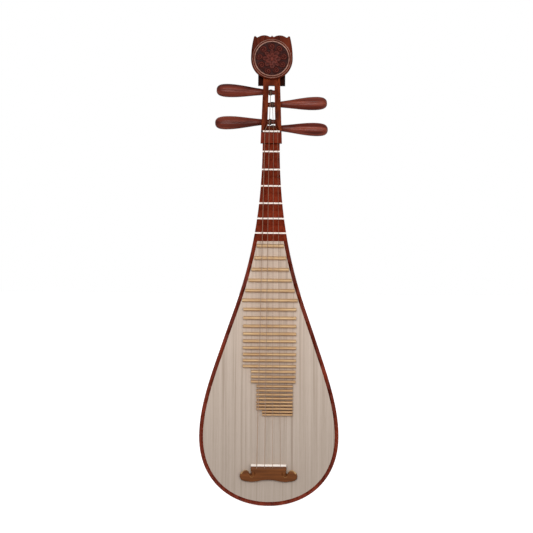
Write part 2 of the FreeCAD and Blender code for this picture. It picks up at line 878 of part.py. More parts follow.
def wall_reach(number):
    """Distance along a peg's axis from the centreline to the pegbox's outer side."""
    height = peg_centre(number).z
    share = (height - neck_end) / (pegbox_top - neck_end)
    return dim("pegbox_half_foot") + (dim("pegbox_half_top") - dim("pegbox_half_foot")) * share


def shaft_radius(number, run):
    """Radius of the tapered shaft at a distance outward from the centreline."""
    return dim("peg_entry_radius") - dim("peg_taper") * (wall_reach(number) - run)


def turned(edges):
    """A solid turned about the local X axis from edges in the (x, y) plane."""
    face = Part.Face(Part.Wire(Part.__sortEdges__(edges)))
    return face.revolve(vec(0, 0, 0), vec(1, 0, 0), FULL_TURN)


def axis_place(number):
    """Placement that lays the local X axis along a peg's axis."""
    turn = FreeCAD.Rotation(vec(1, 0, 0), peg_outward(number))
    return FreeCAD.Placement(peg_centre(number), turn)


def shaft_ends(number):
    """Inner and outer ends of the tapered shaft, as distances from the centreline."""
    inner = -(wall_reach(number) - dim("peg_far_wall"))
    outer = wall_reach(number) + dim("peg_root_gap")
    return inner, outer


def make_peg(number):
    """A tapered shaft and a long swelling handle with a domed end."""
    inner, outer = shaft_ends(number)
    swell = outer + dim("peg_swell_run")
    end = outer + dim("peg_handle_length")
    root = dim("peg_root_radius")
    full = dim("peg_swell_radius")
    tip_radius = shaft_radius(number, inner)
    corners = [
        vec(inner, 0, 0),
        vec(inner, tip_radius, 0),
        vec(outer, shaft_radius(number, outer), 0),
        vec(outer, root, 0),
    ]
    edges = [Part.makeLine(a, b) for a, b in zip(corners, corners[1:])]
    run = dim("peg_swell_run")
    flank = Part.BezierCurve()
    flank.setPoles(
        [
            vec(outer, root, 0),
            vec(outer + run / 3, root + (full - root) / 3, 0),
            vec(outer + run * 2 / 3, full, 0),
            vec(swell, full, 0),
        ]
    )
    dome = Part.BezierCurve()
    reach = end - swell
    dome.setPoles(
        [
            vec(swell, full, 0),
            vec(swell + reach * dim("peg_dome_run"), full, 0),
            vec(end, full * dim("peg_dome_share"), 0),
            vec(end, 0, 0),
        ]
    )
    edges += [flank.toShape(), dome.toShape()]
    edges.append(Part.makeLine(vec(end, 0, 0), vec(inner, 0, 0)))
    keep(feature(f"peg_{number}", turned(edges), axis_place(number)), f"peg_{number}")


def winding_offset(number):
    """Middle of a winding, as a distance outward along its peg's axis."""
    side = PEG_LAYOUT[number][0]
    return side * dim("winding_offset_" + STRING_WORDS[number - 1])


def make_winding(number):
    """The string's turns on its peg, side by side."""
    thick = string_dia(number)
    turns = int(dim("winding_length") / thick)
    start = winding_offset(number) - turns * thick / 2
    edges = []
    for turn in range(turns):
        left = start + turn * thick
        right = left + thick
        middle = (left + right) / 2
        low = shaft_radius(number, left) + thick / 2
        high = shaft_radius(number, right) + thick / 2
        crest = shaft_radius(number, middle) + thick
        hump = Part.Arc(vec(left, low, 0), vec(middle, crest, 0), vec(right, high, 0))
        edges.append(hump.toShape())
    end = start + turns * thick
    base_left = vec(start, shaft_radius(number, start), 0)
    base_right = vec(end, shaft_radius(number, end), 0)
    edges.append(Part.makeLine(base_left, vec(start, base_left.y + thick / 2, 0)))
    edges.append(Part.makeLine(base_right, vec(end, base_right.y + thick / 2, 0)))
    edges.append(Part.makeLine(base_left, base_right))
    name = f"string_winding_{number}"
    keep(feature(name, turned(edges), axis_place(number)), name)


def string_points(number):
    """A string's corners: its hidden end, the saddle, the nut and its peg's winding."""
    thick = string_dia(number)
    step = (STRINGS[0] + STRINGS[-1]) / 2 - number
    axis_height = -(dim("string_height") + dim("string_lift") + thick / 2)
    saddle_edge = dim("saddle_crest_half") + dim("saddle_bend_offset")
    saddle = vec(step * dim("saddle_spacing"), axis_height, dim("saddle_line") - saddle_edge)
    nut_edge = nut_back + dim("nut_bend_offset")
    nut = vec(step * dim("nut_spacing"), axis_height, nut_edge)
    hidden = saddle + vec(0, dim("string_tail_drop"), -dim("string_tail_run"))
    run = winding_offset(number)
    centre = peg_centre(number) + peg_outward(number) * run
    radius = shaft_radius(number, run) + thick * 3 / 2 + dim("winding_gap")
    across = vec(0, centre.y - nut.y, centre.z - nut.z)
    distance = across.Length
    bearing = math.atan2(across.y, across.z) - math.asin(radius / distance)
    reach = math.sqrt(distance**2 - radius**2)
    end = nut + vec(0, reach * math.sin(bearing), reach * math.cos(bearing))
    end.x = centre.x
    return [hidden, saddle, nut, end]


def bent_path(points, radii):
    """Straight runs joined by tangent arcs, one radius for each inner corner."""
    edges = []
    start = points[0]
    for before, corner, after, radius in zip(points, points[1:], points[2:], radii):
        toward = (before - corner).normalize()
        away = (after - corner).normalize()
        turn = math.pi - toward.getAngle(away)
        setback = radius * math.tan(turn / 2)
        first = corner + toward * setback
        last = corner + away * setback
        inward = (toward + away).normalize()
        middle = corner + inward * (radius / math.cos(turn / 2) - radius)
        edges.append(Part.makeLine(start, first))
        edges.append(Part.Arc(first, middle, last).toShape())
        start = last
    edges.append(Part.makeLine(start, points[-1]))
    return Part.Wire(edges)


def make_string(number):
    """A string from its hole in the bridge, over the saddle and nut, to its peg."""
    points = string_points(number)
    radii = (dim("saddle_bend_radius"), dim("nut_bend_radius"))
    path = bent_path(points, radii)
    radius = string_dia(number) / 2
    ring = Part.makeCircle(radius, points[0], points[1] - points[0])
    tube = path.makePipeShell([Part.Wire(ring)], True, False)
    expected = math.pi * radius**2 * path.Length
    if abs(tube.Volume / expected - 1) > VOLUME_TOLERANCE:
        raise RuntimeError(f"string {number} has volume {tube.Volume}, not {expected}")
    keep(feature(f"string_{number}", tube), f"string_{number}")


# ---- pegbox and head ----


def make_pegbox(head):
    """Two cheeks with an open slot between them, leaning back from the nut."""
    tongue_top = f"({PEGBOX_TOP} + Dims.pegbox_tongue_length)"
    tongue_back = "(Dims.pegbox_front_top + Dims.tongue_depth)"
    lean = "(Dims.pegbox_front_top - Dims.pegbox_front_foot) / Dims.pegbox_length"
    tongue_front = f"Dims.pegbox_front_top + {lean} * Dims.pegbox_tongue_length"
    side = [
        ("0", PILLOW_FOOT),
        ("0", NUT_BACK),
        ("Dims.pegbox_front_foot", NUT_BACK),
        (tongue_front, tongue_top),
        (tongue_back, tongue_top),
        (tongue_back, PEGBOX_TOP),
        ("Dims.pegbox_back_top", PEGBOX_TOP),
        ("Dims.pegbox_back_foot", PILLOW_FOOT),
    ]
    block = side_prism("pegbox_side", side, "Dims.body_half_width")
    plan = [
        (pegbox_half(PILLOW_FOOT), PILLOW_FOOT),
        (pegbox_half(tongue_top), tongue_top),
        (f"0 - {pegbox_half(tongue_top)}", tongue_top),
        (f"0 - {pegbox_half(PILLOW_FOOT)}", PILLOW_FOOT),
    ]
    trim = front_prism("pegbox_plan", plan, "0 - 60", "90")
    blank = combine("Part::Common", "pegbox_blank", block, trim)
    doc.recompute()
    rounding = doc.addObject("Part::Fillet", "pegbox_rounded")
    rounding.Base = blank
    radius = dim("pegbox_back_round")
    rounding.Edges = [(place, radius, radius) for place in back_edges(blank.Shape)]
    slot = combine("Part::Common", "slot", *slot_prisms())
    hollowed = combine("Part::Cut", "pegbox_slotted", rounding, slot)
    ramped = combine("Part::Cut", "pegbox_ramped", hollowed, feature("ramp", ramp_shape()))
    bored = combine("Part::Cut", "pegbox_bored", ramped, feature("peg_bores", bore_shape()))
    keep(combine("Part::Cut", "pegbox", bored, head), "pegbox")


def back_edges(shape):
    """Numbers of the two long edges along the pegbox's back corners."""
    found = []
    for place, edge in enumerate(shape.Edges, start=1):
        box = edge.BoundBox
        behind = box.YMin > dim("pegbox_back_foot") - 0.5
        if behind and box.ZLength > dim("pegbox_length") and abs(box.XMin) > 1:
            found.append(place)
    return found


def slot_prisms():
    """The slot seen from the side, deeper-reaching at the front, and seen from the front."""
    front_start = f"({NUT_BACK} + Dims.slot_front_start)"
    back_start = f"({NUT_BACK} + Dims.slot_back_start)"
    pocket_floor = "Dims.pocket_depth"
    side = [
        ("0 - 40", PEGBOX_TOP),
        ("0 - 40", front_start),
        ("Dims.ramp_end_depth", front_start),
        ("Dims.ramp_end_depth", f"({NUT_BACK} + Dims.ramp_end_rise)"),
        ("Dims.ramp_end_depth + 2.5", f"({NUT_BACK} - 1)"),
        (pocket_floor, f"({NUT_BACK} - 1)"),
        ("Dims.pegbox_back_top + 30", back_start),
        ("Dims.pegbox_back_top + 30", PEGBOX_TOP),
    ]
    foot = f"({NUT_BACK} - Dims.slot_plan_overrun)"
    plan = [
        ("Dims.slot_half_foot", foot),
        ("Dims.slot_half_top", PEGBOX_TOP),
        ("0 - Dims.slot_half_top", PEGBOX_TOP),
        ("0 - Dims.slot_half_foot", foot),
    ]
    long_way = side_prism("slot_side", side, "Dims.body_half_width")
    return long_way, front_prism("slot_plan", plan, "0 - 60", "Dims.pegbox_back_top + 40")


def ramp_shape():
    """The flared ramp that leads the strings from the nut down into the slot."""
    front = dim("pegbox_front_foot")
    rise = dim("ramp_end_rise")
    deep = dim("ramp_end_depth")
    half = dim("ramp_half_width")
    flare = dim("flare_rise")
    overrun = dim("slot_plan_overrun")
    share = (flare + overrun) / (dim("pegbox_length") + overrun)
    slot = dim("slot_half_foot") + (dim("slot_half_top") - dim("slot_half_foot")) * share
    ahead = front - dim("ramp_overrun")
    side = [
        vec(-half, ahead, nut_back),
        vec(-half, front, nut_back),
        vec(-half, deep, nut_back + rise),
        vec(-half, deep, nut_back + flare),
        vec(-half, ahead, nut_back + flare),
    ]
    wedge = Part.Face(Part.makePolygon(side + side[:1])).extrude(vec(2 * half, 0, 0))
    plan = [
        vec(-half, ahead, nut_back),
        vec(half, ahead, nut_back),
        vec(slot, ahead, nut_back + flare),
        vec(-slot, ahead, nut_back + flare),
    ]
    funnel = Part.Face(Part.makePolygon(plan + plan[:1])).extrude(vec(0, deep - ahead, 0))
    return wedge.common(funnel)


def bore_shape():
    """The four tapered bores, each wider than its peg's shaft by the running clearance."""
    bores = []
    for number in PEG_LAYOUT:
        inner, outer = shaft_ends(number)
        inner -= dim("fit_gap")
        outer += dim("bore_overrun")
        clearance = dim("peg_clearance")
        low = shaft_radius(number, inner) + clearance
        high = shaft_radius(number, outer) + clearance
        cone = Part.makeCone(low, high, outer - inner, vec(inner, 0, 0), vec(1, 0, 0))
        cone.Placement = axis_place(number)
        bores.append(cone)
    return Part.Compound(bores)


def halfway(first, last, shift):
    """The point midway between two (x, z) points, moved a little."""
    return (first[0] + last[0]) / 2 + shift.x, (first[1] + last[1]) / 2 + shift.z


def head_outline():
    """The head's outline: a round lower part, upright sides and a scrolled top."""
    radius = dim("head_radius")
    middle = head_centre
    shoulder = (dim("head_top_half"), middle + dim("head_top_rise"))
    bulge = (radius - (radius - shoulder[0]) / 4, middle + dim("head_top_rise") / 2)
    tip = (dim("head_tip_half"), middle + dim("head_tip_rise"))
    bow = vec(dim("head_tip_bow_out"), 0, dim("head_tip_bow_up"))
    tip_side = halfway(shoulder, tip, bow)
    notch = (dim("head_notch_half"), middle + dim("head_notch_rise"))
    dip = halfway(tip, notch, vec(-dim("head_dip_in"), 0, -dim("head_dip_down")))
    hump = (dim("head_hump_half"), middle + dim("head_hump_rise"))
    valley = (dim("head_valley_half"), middle + dim("head_valley_rise"))
    point = (0, middle + dim("head_point_rise"))
    root = halfway(valley, point, vec(-dim("head_root_in"), 0, -dim("head_root_down")))
    slant = radius * math.sqrt(0.5)
    half = [
        arc((0, middle - radius), (slant, middle - slant), (radius, middle)),
        arc((radius, middle), bulge, shoulder),
        arc(shoulder, tip_side, tip),
        arc(tip, dip, notch),
        arc(notch, hump, valley),
        arc(valley, root, point),
    ]
    return Part.Face(Part.Wire(Part.__sortEdges__(mirrored(half))))


def disc(radius, front, thickness):
    """A flat disc on the head's centre, from a front depth backwards."""
    return Part.makeCylinder(radius, thickness, vec(0, front, head_centre), vec(0, 1, 0))


def make_head():
    """The head block, with a round pocket for the medallion and a fine ring line."""
    front = dim("head_front")
    thick = dim("head_thickness")
    plate = head_outline()
    plate.translate(vec(0, front, 0))
    block = plate.extrude(vec(0, thick, 0))
    pocket = disc(dim("medallion_pocket_radius"), front, dim("medallion_pocket_depth"))
    line_size = dim("ring_line_size")
    ring_line = disc(dim("ring_line_radius"), front, line_size).cut(
        disc(dim("ring_line_radius") - line_size, front, line_size)
    )
    obj = feature("head_block", block.cut(pocket).cut(ring_line))
    return keep(obj, "head_block")


def make_medallion():
    """The carved disc in the head's pocket and the bead ring that holds it."""
    floor = dim("head_front") + dim("medallion_pocket_depth")
    outer = dim("medallion_pocket_radius") - dim("fit_gap")
    inner = outer - dim("ring_width")
    ring = doc.addObject("PartDesign::Body", "medallion_ring")
    floor_text = "(Dims.head_front + Dims.medallion_pocket_depth)"
    front_text = "(Dims.head_front - Dims.ring_proud)"
    outer_text = "(Dims.medallion_pocket_radius - Dims.fit_gap)"
    inner_text = f"({outer_text} - Dims.ring_width)"
    section = [
        (inner_text, f"0 - {floor_text}"),
        (outer_text, f"0 - {floor_text}"),
        (outer_text, "0 - Dims.head_front"),
        (f"{outer_text} - Dims.ring_width * Dims.ring_slope_share", f"0 - {front_text}"),
        (f"{inner_text} + Dims.ring_width * Dims.ring_slope_share", f"0 - {front_text}"),
        (inner_text, "0 - Dims.head_front"),
    ]
    sketch = outline_sketch(section, "ring_section", ring, "XZ_Plane")
    spin = ring.newObject("PartDesign::Revolution", "ring_turned")
    spin.Profile = sketch
    spin.ReferenceAxis = (sketch, ["V_Axis"])
    spin.Angle = FULL_TURN
    upright = FreeCAD.Rotation(vec(1, 0, 0), FULL_TURN / 4)
    ring.Placement = FreeCAD.Placement(vec(0, 0, head_centre), upright)
    keep(ring, "medallion_ring")
    thick = dim("medallion_thickness")
    plate = disc(inner - dim("fit_gap"), floor - thick, thick)
    lift = dim("boss_lift")
    boss = disc(inner / 3, floor - thick - lift, lift)
    keep(feature("medallion", plate.fuse(boss).removeSplitter()), "medallion")


def make_collar(head):
    """The block behind the pegbox's tongue that carries the head."""
    collar = doc.addObject("Part::Box", "collar_blank")
    collar.setExpression("Length", "2 * Dims.collar_half_width")
    collar.setExpression("Width", "Dims.collar_depth")
    collar.setExpression("Height", "Dims.collar_length")
    collar.setExpression("Placement.Base.x", "0 - Dims.collar_half_width")
    collar.setExpression("Placement.Base.y", "Dims.pegbox_front_top + Dims.tongue_depth")
    collar.setExpression("Placement.Base.z", PEGBOX_TOP)
    doc.recompute()
    rounding = doc.addObject("Part::Fillet", "collar_rounded")
    rounding.Base = collar
    radius = dim("collar_round")
    back = collar.Shape.BoundBox.YMax
    wanted = []
    for place, edge in enumerate(collar.Shape.Edges, start=1):
        if edge.BoundBox.YMin > back - EPS:
            wanted.append((place, radius, radius))
    rounding.Edges = wanted
    keep(combine("Part::Cut", "head_collar", rounding, head), "head_collar")


# ---- build, check and write ----


def check_all():
    """Stop if any object failed or any node has no valid solid."""
    for obj in doc.Objects:
        if "Invalid" in obj.State or "Error" in obj.State:
            raise RuntimeError(f"{obj.Name} ({obj.Label}) is {obj.State}")
    for name, obj in nodes.items():
        shape = obj.Shape
        if shape.isNull() or not shape.isValid() or not shape.Solids:
            raise RuntimeError(f"{name} has no valid solid")


def write_parts():
    os.makedirs("parts", exist_ok=True)
    for name, obj in nodes.items():
        obj.Shape.exportStep(f"parts/{name}.step")


hollow_form = make_back()
make_soundboard()
make_supports(hollow_form)
neck_trim = neck_prism()
make_xiang(neck_trim)
make_pins()
make_nut()
make_pillow()
for peg_number in PEG_LAYOUT:
    make_peg(peg_number)
    make_winding(peg_number)
    make_string(peg_number)
make_bridge()
make_saddle()
head_block = make_head()
make_pegbox(head_block)
make_collar(head_block)
make_medallion()
doc.recompute()
check_all()
write_parts()
print(len(nodes), "nodes written")
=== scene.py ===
import json
import math
import random

import bmesh
import bpy
import numpy as np
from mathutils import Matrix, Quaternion, Vector, noise
from mathutils.bvhtree import BVHTree
from mathutils.geometry import delaunay_2d_cdt


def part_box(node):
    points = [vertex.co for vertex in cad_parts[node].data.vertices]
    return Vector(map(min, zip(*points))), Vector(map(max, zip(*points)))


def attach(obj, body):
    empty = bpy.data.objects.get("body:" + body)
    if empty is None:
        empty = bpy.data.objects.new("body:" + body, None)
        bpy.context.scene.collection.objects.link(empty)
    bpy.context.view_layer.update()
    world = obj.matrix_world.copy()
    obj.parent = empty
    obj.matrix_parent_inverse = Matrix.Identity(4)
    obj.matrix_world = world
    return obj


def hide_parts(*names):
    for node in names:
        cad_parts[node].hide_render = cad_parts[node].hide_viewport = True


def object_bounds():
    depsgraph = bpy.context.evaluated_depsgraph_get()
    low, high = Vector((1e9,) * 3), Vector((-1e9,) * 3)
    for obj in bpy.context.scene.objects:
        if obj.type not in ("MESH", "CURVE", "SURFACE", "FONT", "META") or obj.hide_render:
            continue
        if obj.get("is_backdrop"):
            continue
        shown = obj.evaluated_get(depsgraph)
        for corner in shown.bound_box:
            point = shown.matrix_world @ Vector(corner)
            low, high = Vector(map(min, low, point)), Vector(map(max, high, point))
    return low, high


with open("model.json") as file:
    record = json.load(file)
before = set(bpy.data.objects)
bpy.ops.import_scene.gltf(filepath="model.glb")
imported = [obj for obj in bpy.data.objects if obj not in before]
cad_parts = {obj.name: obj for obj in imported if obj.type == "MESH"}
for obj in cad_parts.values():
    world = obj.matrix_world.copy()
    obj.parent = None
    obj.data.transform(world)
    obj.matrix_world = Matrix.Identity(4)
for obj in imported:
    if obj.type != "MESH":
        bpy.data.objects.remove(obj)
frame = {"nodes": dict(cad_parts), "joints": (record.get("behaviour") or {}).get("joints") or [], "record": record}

# The pipa's looks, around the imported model. Metres, +Z from tail to head, front towards -Y.

ROOT = "instrument"
MM = 0.001
STRINGS = (1, 2, 3, 4)
XIANG = [f"xiang_{n}" for n in range(1, 7)]
PINS = sorted(name for name in frame["nodes"] if name.startswith("pin_"))
MERGE_DISTANCE = 0.002 * MM
UP = Vector((0, 0, 1))


def as_lists(corners):
    return [list(corner) for corner in corners]


sizes = {"cad": as_lists(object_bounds())}


# ---- materials ----


def srgb(red, green, blue):
    """A linear colour from sRGB values between 0 and 255."""
    parts = []
    for value in (red, green, blue):
        share = value / 255
        if share <= 0.04045:
            parts.append(share / 12.92)
        else:
            parts.append(((share + 0.055) / 1.055) ** 2.4)
    return (*parts, 1.0)


class Recipe:
    """A node material being made, with short calls for the nodes that it uses."""

    def __init__(self, name, roughness=0.5, coat=0.0, coat_roughness=0.1, specular=0.5):
        self.material = bpy.data.materials.new(name)
        self.material.use_nodes = True
        self.tree = self.material.node_tree
        self.shader = self.tree.nodes["Principled BSDF"]
        self.shader.inputs["Roughness"].default_value = roughness
        self.shader.inputs["Coat Weight"].default_value = coat
        self.shader.inputs["Coat Roughness"].default_value = coat_roughness
        self.shader.inputs["Specular IOR Level"].default_value = specular
        self.coords = self.tree.nodes.new("ShaderNodeTexCoord").outputs["Object"]

    def link(self, source, target):
        self.tree.links.new(source, target)

    def place(self, scale, offset=(0, 0, 0)):
        """Object coordinates, scaled and shifted."""
        node = self.tree.nodes.new("ShaderNodeMapping")
        node.inputs["Scale"].default_value = scale
        node.inputs["Location"].default_value = offset
        self.link(self.coords, node.inputs["Vector"])
        return node.outputs["Vector"]

    def noise(self, vector, detail=4.0, roughness=0.55, distortion=0.0):
        node = self.tree.nodes.new("ShaderNodeTexNoise")
        node.inputs["Scale"].default_value = 1.0
        node.inputs["Detail"].default_value = detail
        node.inputs["Roughness"].default_value = roughness
        node.inputs["Distortion"].default_value = distortion
        self.link(vector, node.inputs["Vector"])
        return node.outputs["Fac"]

    def axis(self, letter):
        """One object coordinate."""
        node = self.tree.nodes.new("ShaderNodeSeparateXYZ")
        self.link(self.coords, node.inputs["Vector"])
        return node.outputs[letter]

    def sums(self, kind, first, second=0.0):
        """One Math node over sockets or numbers."""
        node = self.tree.nodes.new("ShaderNodeMath")
        node.operation = kind
        for socket, value in zip(node.inputs, (first, second)):
            if isinstance(value, (int, float)):
                socket.default_value = value
            else:
                self.link(value, socket)
        return node.outputs["Value"]

    def spread(self, value, low, high, out_low=0.0, out_high=1.0):
        """A smooth rise from out_low to out_high as value goes from low to high."""
        node = self.tree.nodes.new("ShaderNodeMapRange")
        node.interpolation_type = "SMOOTHSTEP"
        numbers = {"From Min": low, "From Max": high, "To Min": out_low, "To Max": out_high}
        for key, number in numbers.items():
            node.inputs[key].default_value = number
        self.link(value, node.inputs["Value"])
        return node.outputs["Result"]

    def ramp(self, factor, stops, steps=False):
        """A colour ramp through (place, colour) stops."""
        node = self.tree.nodes.new("ShaderNodeValToRGB")
        band = node.color_ramp
        band.interpolation = "CONSTANT" if steps else "LINEAR"
        while len(band.elements) < len(stops):
            band.elements.new(1.0)
        for element, (place, colour) in zip(band.elements, stops):
            element.position = place
            element.color = colour
        self.link(factor, node.inputs["Fac"])
        return node.outputs["Color"]

    def mix(self, factor, first, second, kind="MIX"):
        """A colour mix; each colour is a socket or a colour, factor a socket or number."""
        node = self.tree.nodes.new("ShaderNodeMix")
        node.data_type = "RGBA"
        node.blend_type = kind
        slots = (node.inputs["Factor"], node.inputs[6], node.inputs[7])
        for socket, value in zip(slots, (factor, first, second)):
            if isinstance(value, (int, float, tuple)):
                socket.default_value = value
            else:
                self.link(value, socket)
        return node.outputs[2]

    def shaded(self, colour, value):
        """A colour multiplied by one grey value."""
        node = self.tree.nodes.new("ShaderNodeCombineColor")
        for key in ("Red", "Green", "Blue"):
            self.link(value, node.inputs[key])
        return self.mix(1.0, colour, node.outputs["Color"], "MULTIPLY")

    def finish(self, colour, height=None, bump=0.3, depth=0.0003, roughness=None):
        """Connects the colour, an optional bump and an optional varying roughness."""
        self.link(colour, self.shader.inputs["Base Color"])
        if roughness is not None:
            self.link(roughness, self.shader.inputs["Roughness"])
        if height is not None:
            node = self.tree.nodes.new("ShaderNodeBump")
            node.inputs["Strength"].default_value = bump
            node.inputs["Distance"].default_value = depth
            self.link(height, node.inputs["Height"])
            self.link(node.outputs["Normal"], self.shader.inputs["Normal"])
        return self.material


GRAIN_ALONG = {"X": (0.04, 1.0, 1.0), "Z": (1.0, 1.0, 0.04)}
# each lacquered wood's dark, middle and light tones, in sRGB
WOOD_TONES = {
    "rosewood_back": ((64, 18, 8), (110, 37, 19), (132, 52, 29)),
    "rosewood_neck": ((50, 16, 6), (100, 37, 15), (138, 60, 27)),
    "rosewood_head": ((42, 13, 6), (84, 30, 15), (110, 45, 25)),
    "rosewood_fret": ((74, 22, 11), (114, 39, 20), (142, 56, 32)),
    "rosewood_peg": ((66, 22, 14), (110, 46, 33), (148, 74, 54)),
    "dark_rosewood": ((24, 7, 4), (44, 15, 9), (62, 23, 14)),
    # painted highlight: a pale copy of the rosewood for the bead mouldings, standing in for light on their rounded
    # faces
    "pale_bead": ((120, 76, 64), (160, 118, 102), (188, 148, 132)),
    "curl_wood": ((112, 72, 40), (148, 104, 62), (172, 130, 84)),
}


def grain_scale(axis, frequency):
    """Mapping scale for fibres that run along one axis."""
    return tuple(part * frequency for part in GRAIN_ALONG[axis])


def rosewood(name, axis="Z", roughness=0.48, coat=0.0, seed=0.0, shine=0.10):
    """Lacquered wood in its named tones: broad figure, dark streaks, fine pores."""
    dark, middle, light = (srgb(*tone) for tone in WOOD_TONES[name])
    made = Recipe(name, roughness, coat, 0.25, shine)
    figure = made.noise(made.place(grain_scale(axis, 55), (seed, seed, seed)), 6, 0.6, 0.6)
    streaks = made.noise(made.place(grain_scale(axis, 230), (seed, 3, 5)), 4, 0.6)
    pores = made.noise(made.place(grain_scale(axis, 1100), (1, seed, 2)), 2, 0.5)
    blotches = made.noise(made.place((9, 9, 9), (seed, 0, 0)), 2, 0.5)
    colour = made.ramp(figure, [(0.30, dark), (0.48, middle), (0.70, light)])
    streak = made.spread(streaks, 0.52, 0.66)
    colour = made.mix(made.sums("MULTIPLY", streak, 0.55), colour, dark)
    pore = made.spread(pores, 0.56, 0.66)
    colour = made.mix(made.sums("MULTIPLY", pore, 0.5), colour, dark)
    shade = made.spread(blotches, 0.3, 0.7, 0.82, 1.14)
    colour = made.shaded(colour, shade)
    rough = made.spread(streaks, 0.3, 0.7, roughness - 0.07, roughness + 0.1)
    return made.finish(colour, made.sums("SUBTRACT", 1.0, pore), 0.25, 0.0002, rough)


# the planks' colour ramp spans this width, a little more than the board's
RAMP_WIDTH = 0.4
PLANK_SEED = 11


def paulownia(name, joints):
    """Bare paulownia planks: each plank its own tone, fine straight growth lines, and painted shade darkening the
    board towards the tail.
    """
    made = Recipe(name, 0.62, 0.0, 0.3, 0.25)
    wide = RAMP_WIDTH
    across = made.sums("ADD", made.sums("DIVIDE", made.axis("X"), wide), 0.5)
    rng = random.Random(PLANK_SEED)
    tones = []
    for edge in [-wide / 2] + joints[1:-1]:
        tone = rng.uniform(0.90, 1.0)
        tones.append((edge / wide + 0.5, (tone, tone * rng.uniform(0.98, 1.0), tone * 0.985, 1)))
    planks = made.ramp(across, tones, steps=True)
    warp = made.noise(made.place((3, 3, 1.6)), 2, 0.5)
    shift = made.sums("MULTIPLY", made.sums("SUBTRACT", warp, 0.5), 2.2)
    lines_at = made.tree.nodes.new("ShaderNodeVectorMath")
    lines_at.operation = "ADD"
    made.link(made.place((210, 60, 1.1)), lines_at.inputs[0])
    combine = made.tree.nodes.new("ShaderNodeCombineXYZ")
    made.link(shift, combine.inputs["X"])
    made.link(combine.outputs["Vector"], lines_at.inputs[1])
    growth = made.noise(lines_at.outputs["Vector"], 4, 0.65)
    fibre = made.noise(made.place((1500, 200, 30)), 3, 0.6)
    pale = srgb(216, 198, 183)
    middle = srgb(205, 187, 171)
    line = srgb(172, 152, 135)
    colour = made.ramp(growth, [(0.30, line), (0.44, middle), (0.66, pale)])
    dark_line = made.noise(made.place((64, 20, 0.4), (5, 2, 8)), 4, 0.75)
    colour = made.mix(made.spread(dark_line, 0.60, 0.67, 0.0, 0.55), colour, srgb(150, 128, 110))
    colour = made.mix(made.spread(fibre, 0.50, 0.70, 0.0, 0.35), colour, line)
    colour = made.mix(1.0, colour, planks, "MULTIPLY")
    # painted shade: the board darkens towards the tail, standing in for the light falling off down the instrument
    colour = made.shaded(colour, made.spread(made.axis("Z"), -0.1, 0.62, 0.64, 1.0))
    return made.finish(colour, fibre, 0.15, 0.0002)


def carved_wood(name):
    """The medallion's dark wood, with painted shade in its recesses and a painted highlight on its raised parts.
    """
    made = Recipe(name, 0.38, 0.0, 0.1, 0.05)
    low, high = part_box("medallion")
    grain = made.noise(made.place(grain_scale("X", 420), (2, 1, 6)), 4, 0.6)
    # painted shade and highlight: dark on the carving's floor, redder and lighter towards its crests
    raised = made.spread(made.axis("Y"), low.y + 0.2 * MM, high.y - 1.2 * MM, 1.0, 0.0)
    colour = made.ramp(
        raised, [(0.0, srgb(40, 13, 10)), (0.4, srgb(68, 26, 20)), (1.0, srgb(116, 56, 46))]
    )
    colour = made.mix(made.spread(grain, 0.5, 0.68, 0.0, 0.5), colour, srgb(44, 14, 11))
    return made.finish(colour, grain, 0.15, 0.0002)


def bamboo(name):
    """Planed bamboo: long fibres across the instrument, faint nodes and a waxy shine."""
    made = Recipe(name, 0.42, 0.12, 0.25, 0.45)
    fibre = made.noise(made.place((16, 1500, 1500)), 3, 0.6)
    tone = made.noise(made.place((20, 60, 60), (3, 1, 4)), 2, 0.5)
    colour = made.ramp(tone, [(0.3, srgb(190, 148, 98)), (0.7, srgb(218, 182, 132))])
    colour = made.mix(made.spread(fibre, 0.48, 0.7, 0.0, 0.5), colour, srgb(150, 108, 66))
    # painted shade: the low pins are tinted darker and more golden, standing in for the shade between these
    # close-set pins
    low = made.spread(made.axis("Z"), 0.20, 0.34, 0.45, 0.0)
    colour = made.mix(low, colour, srgb(176, 128, 82))
    return made.finish(colour, fibre, 0.2, 0.00015)


def bone(name):
    """Polished bone: warm white with faint streaks."""
    made = Recipe(name, 0.32, 0.2, 0.15, 0.5)
    streak = made.noise(made.place((60, 500, 500), (2, 2, 2)), 4, 0.6)
    cloud = made.noise(made.place((150, 150, 150)), 3, 0.5)
    colour = made.ramp(cloud, [(0.3, srgb(236, 220, 206)), (0.7, srgb(250, 240, 232))])
    colour = made.mix(made.spread(streak, 0.55, 0.75, 0.0, 0.35), colour, srgb(214, 190, 166))
    return made.finish(colour, streak, 0.08, 0.0001)


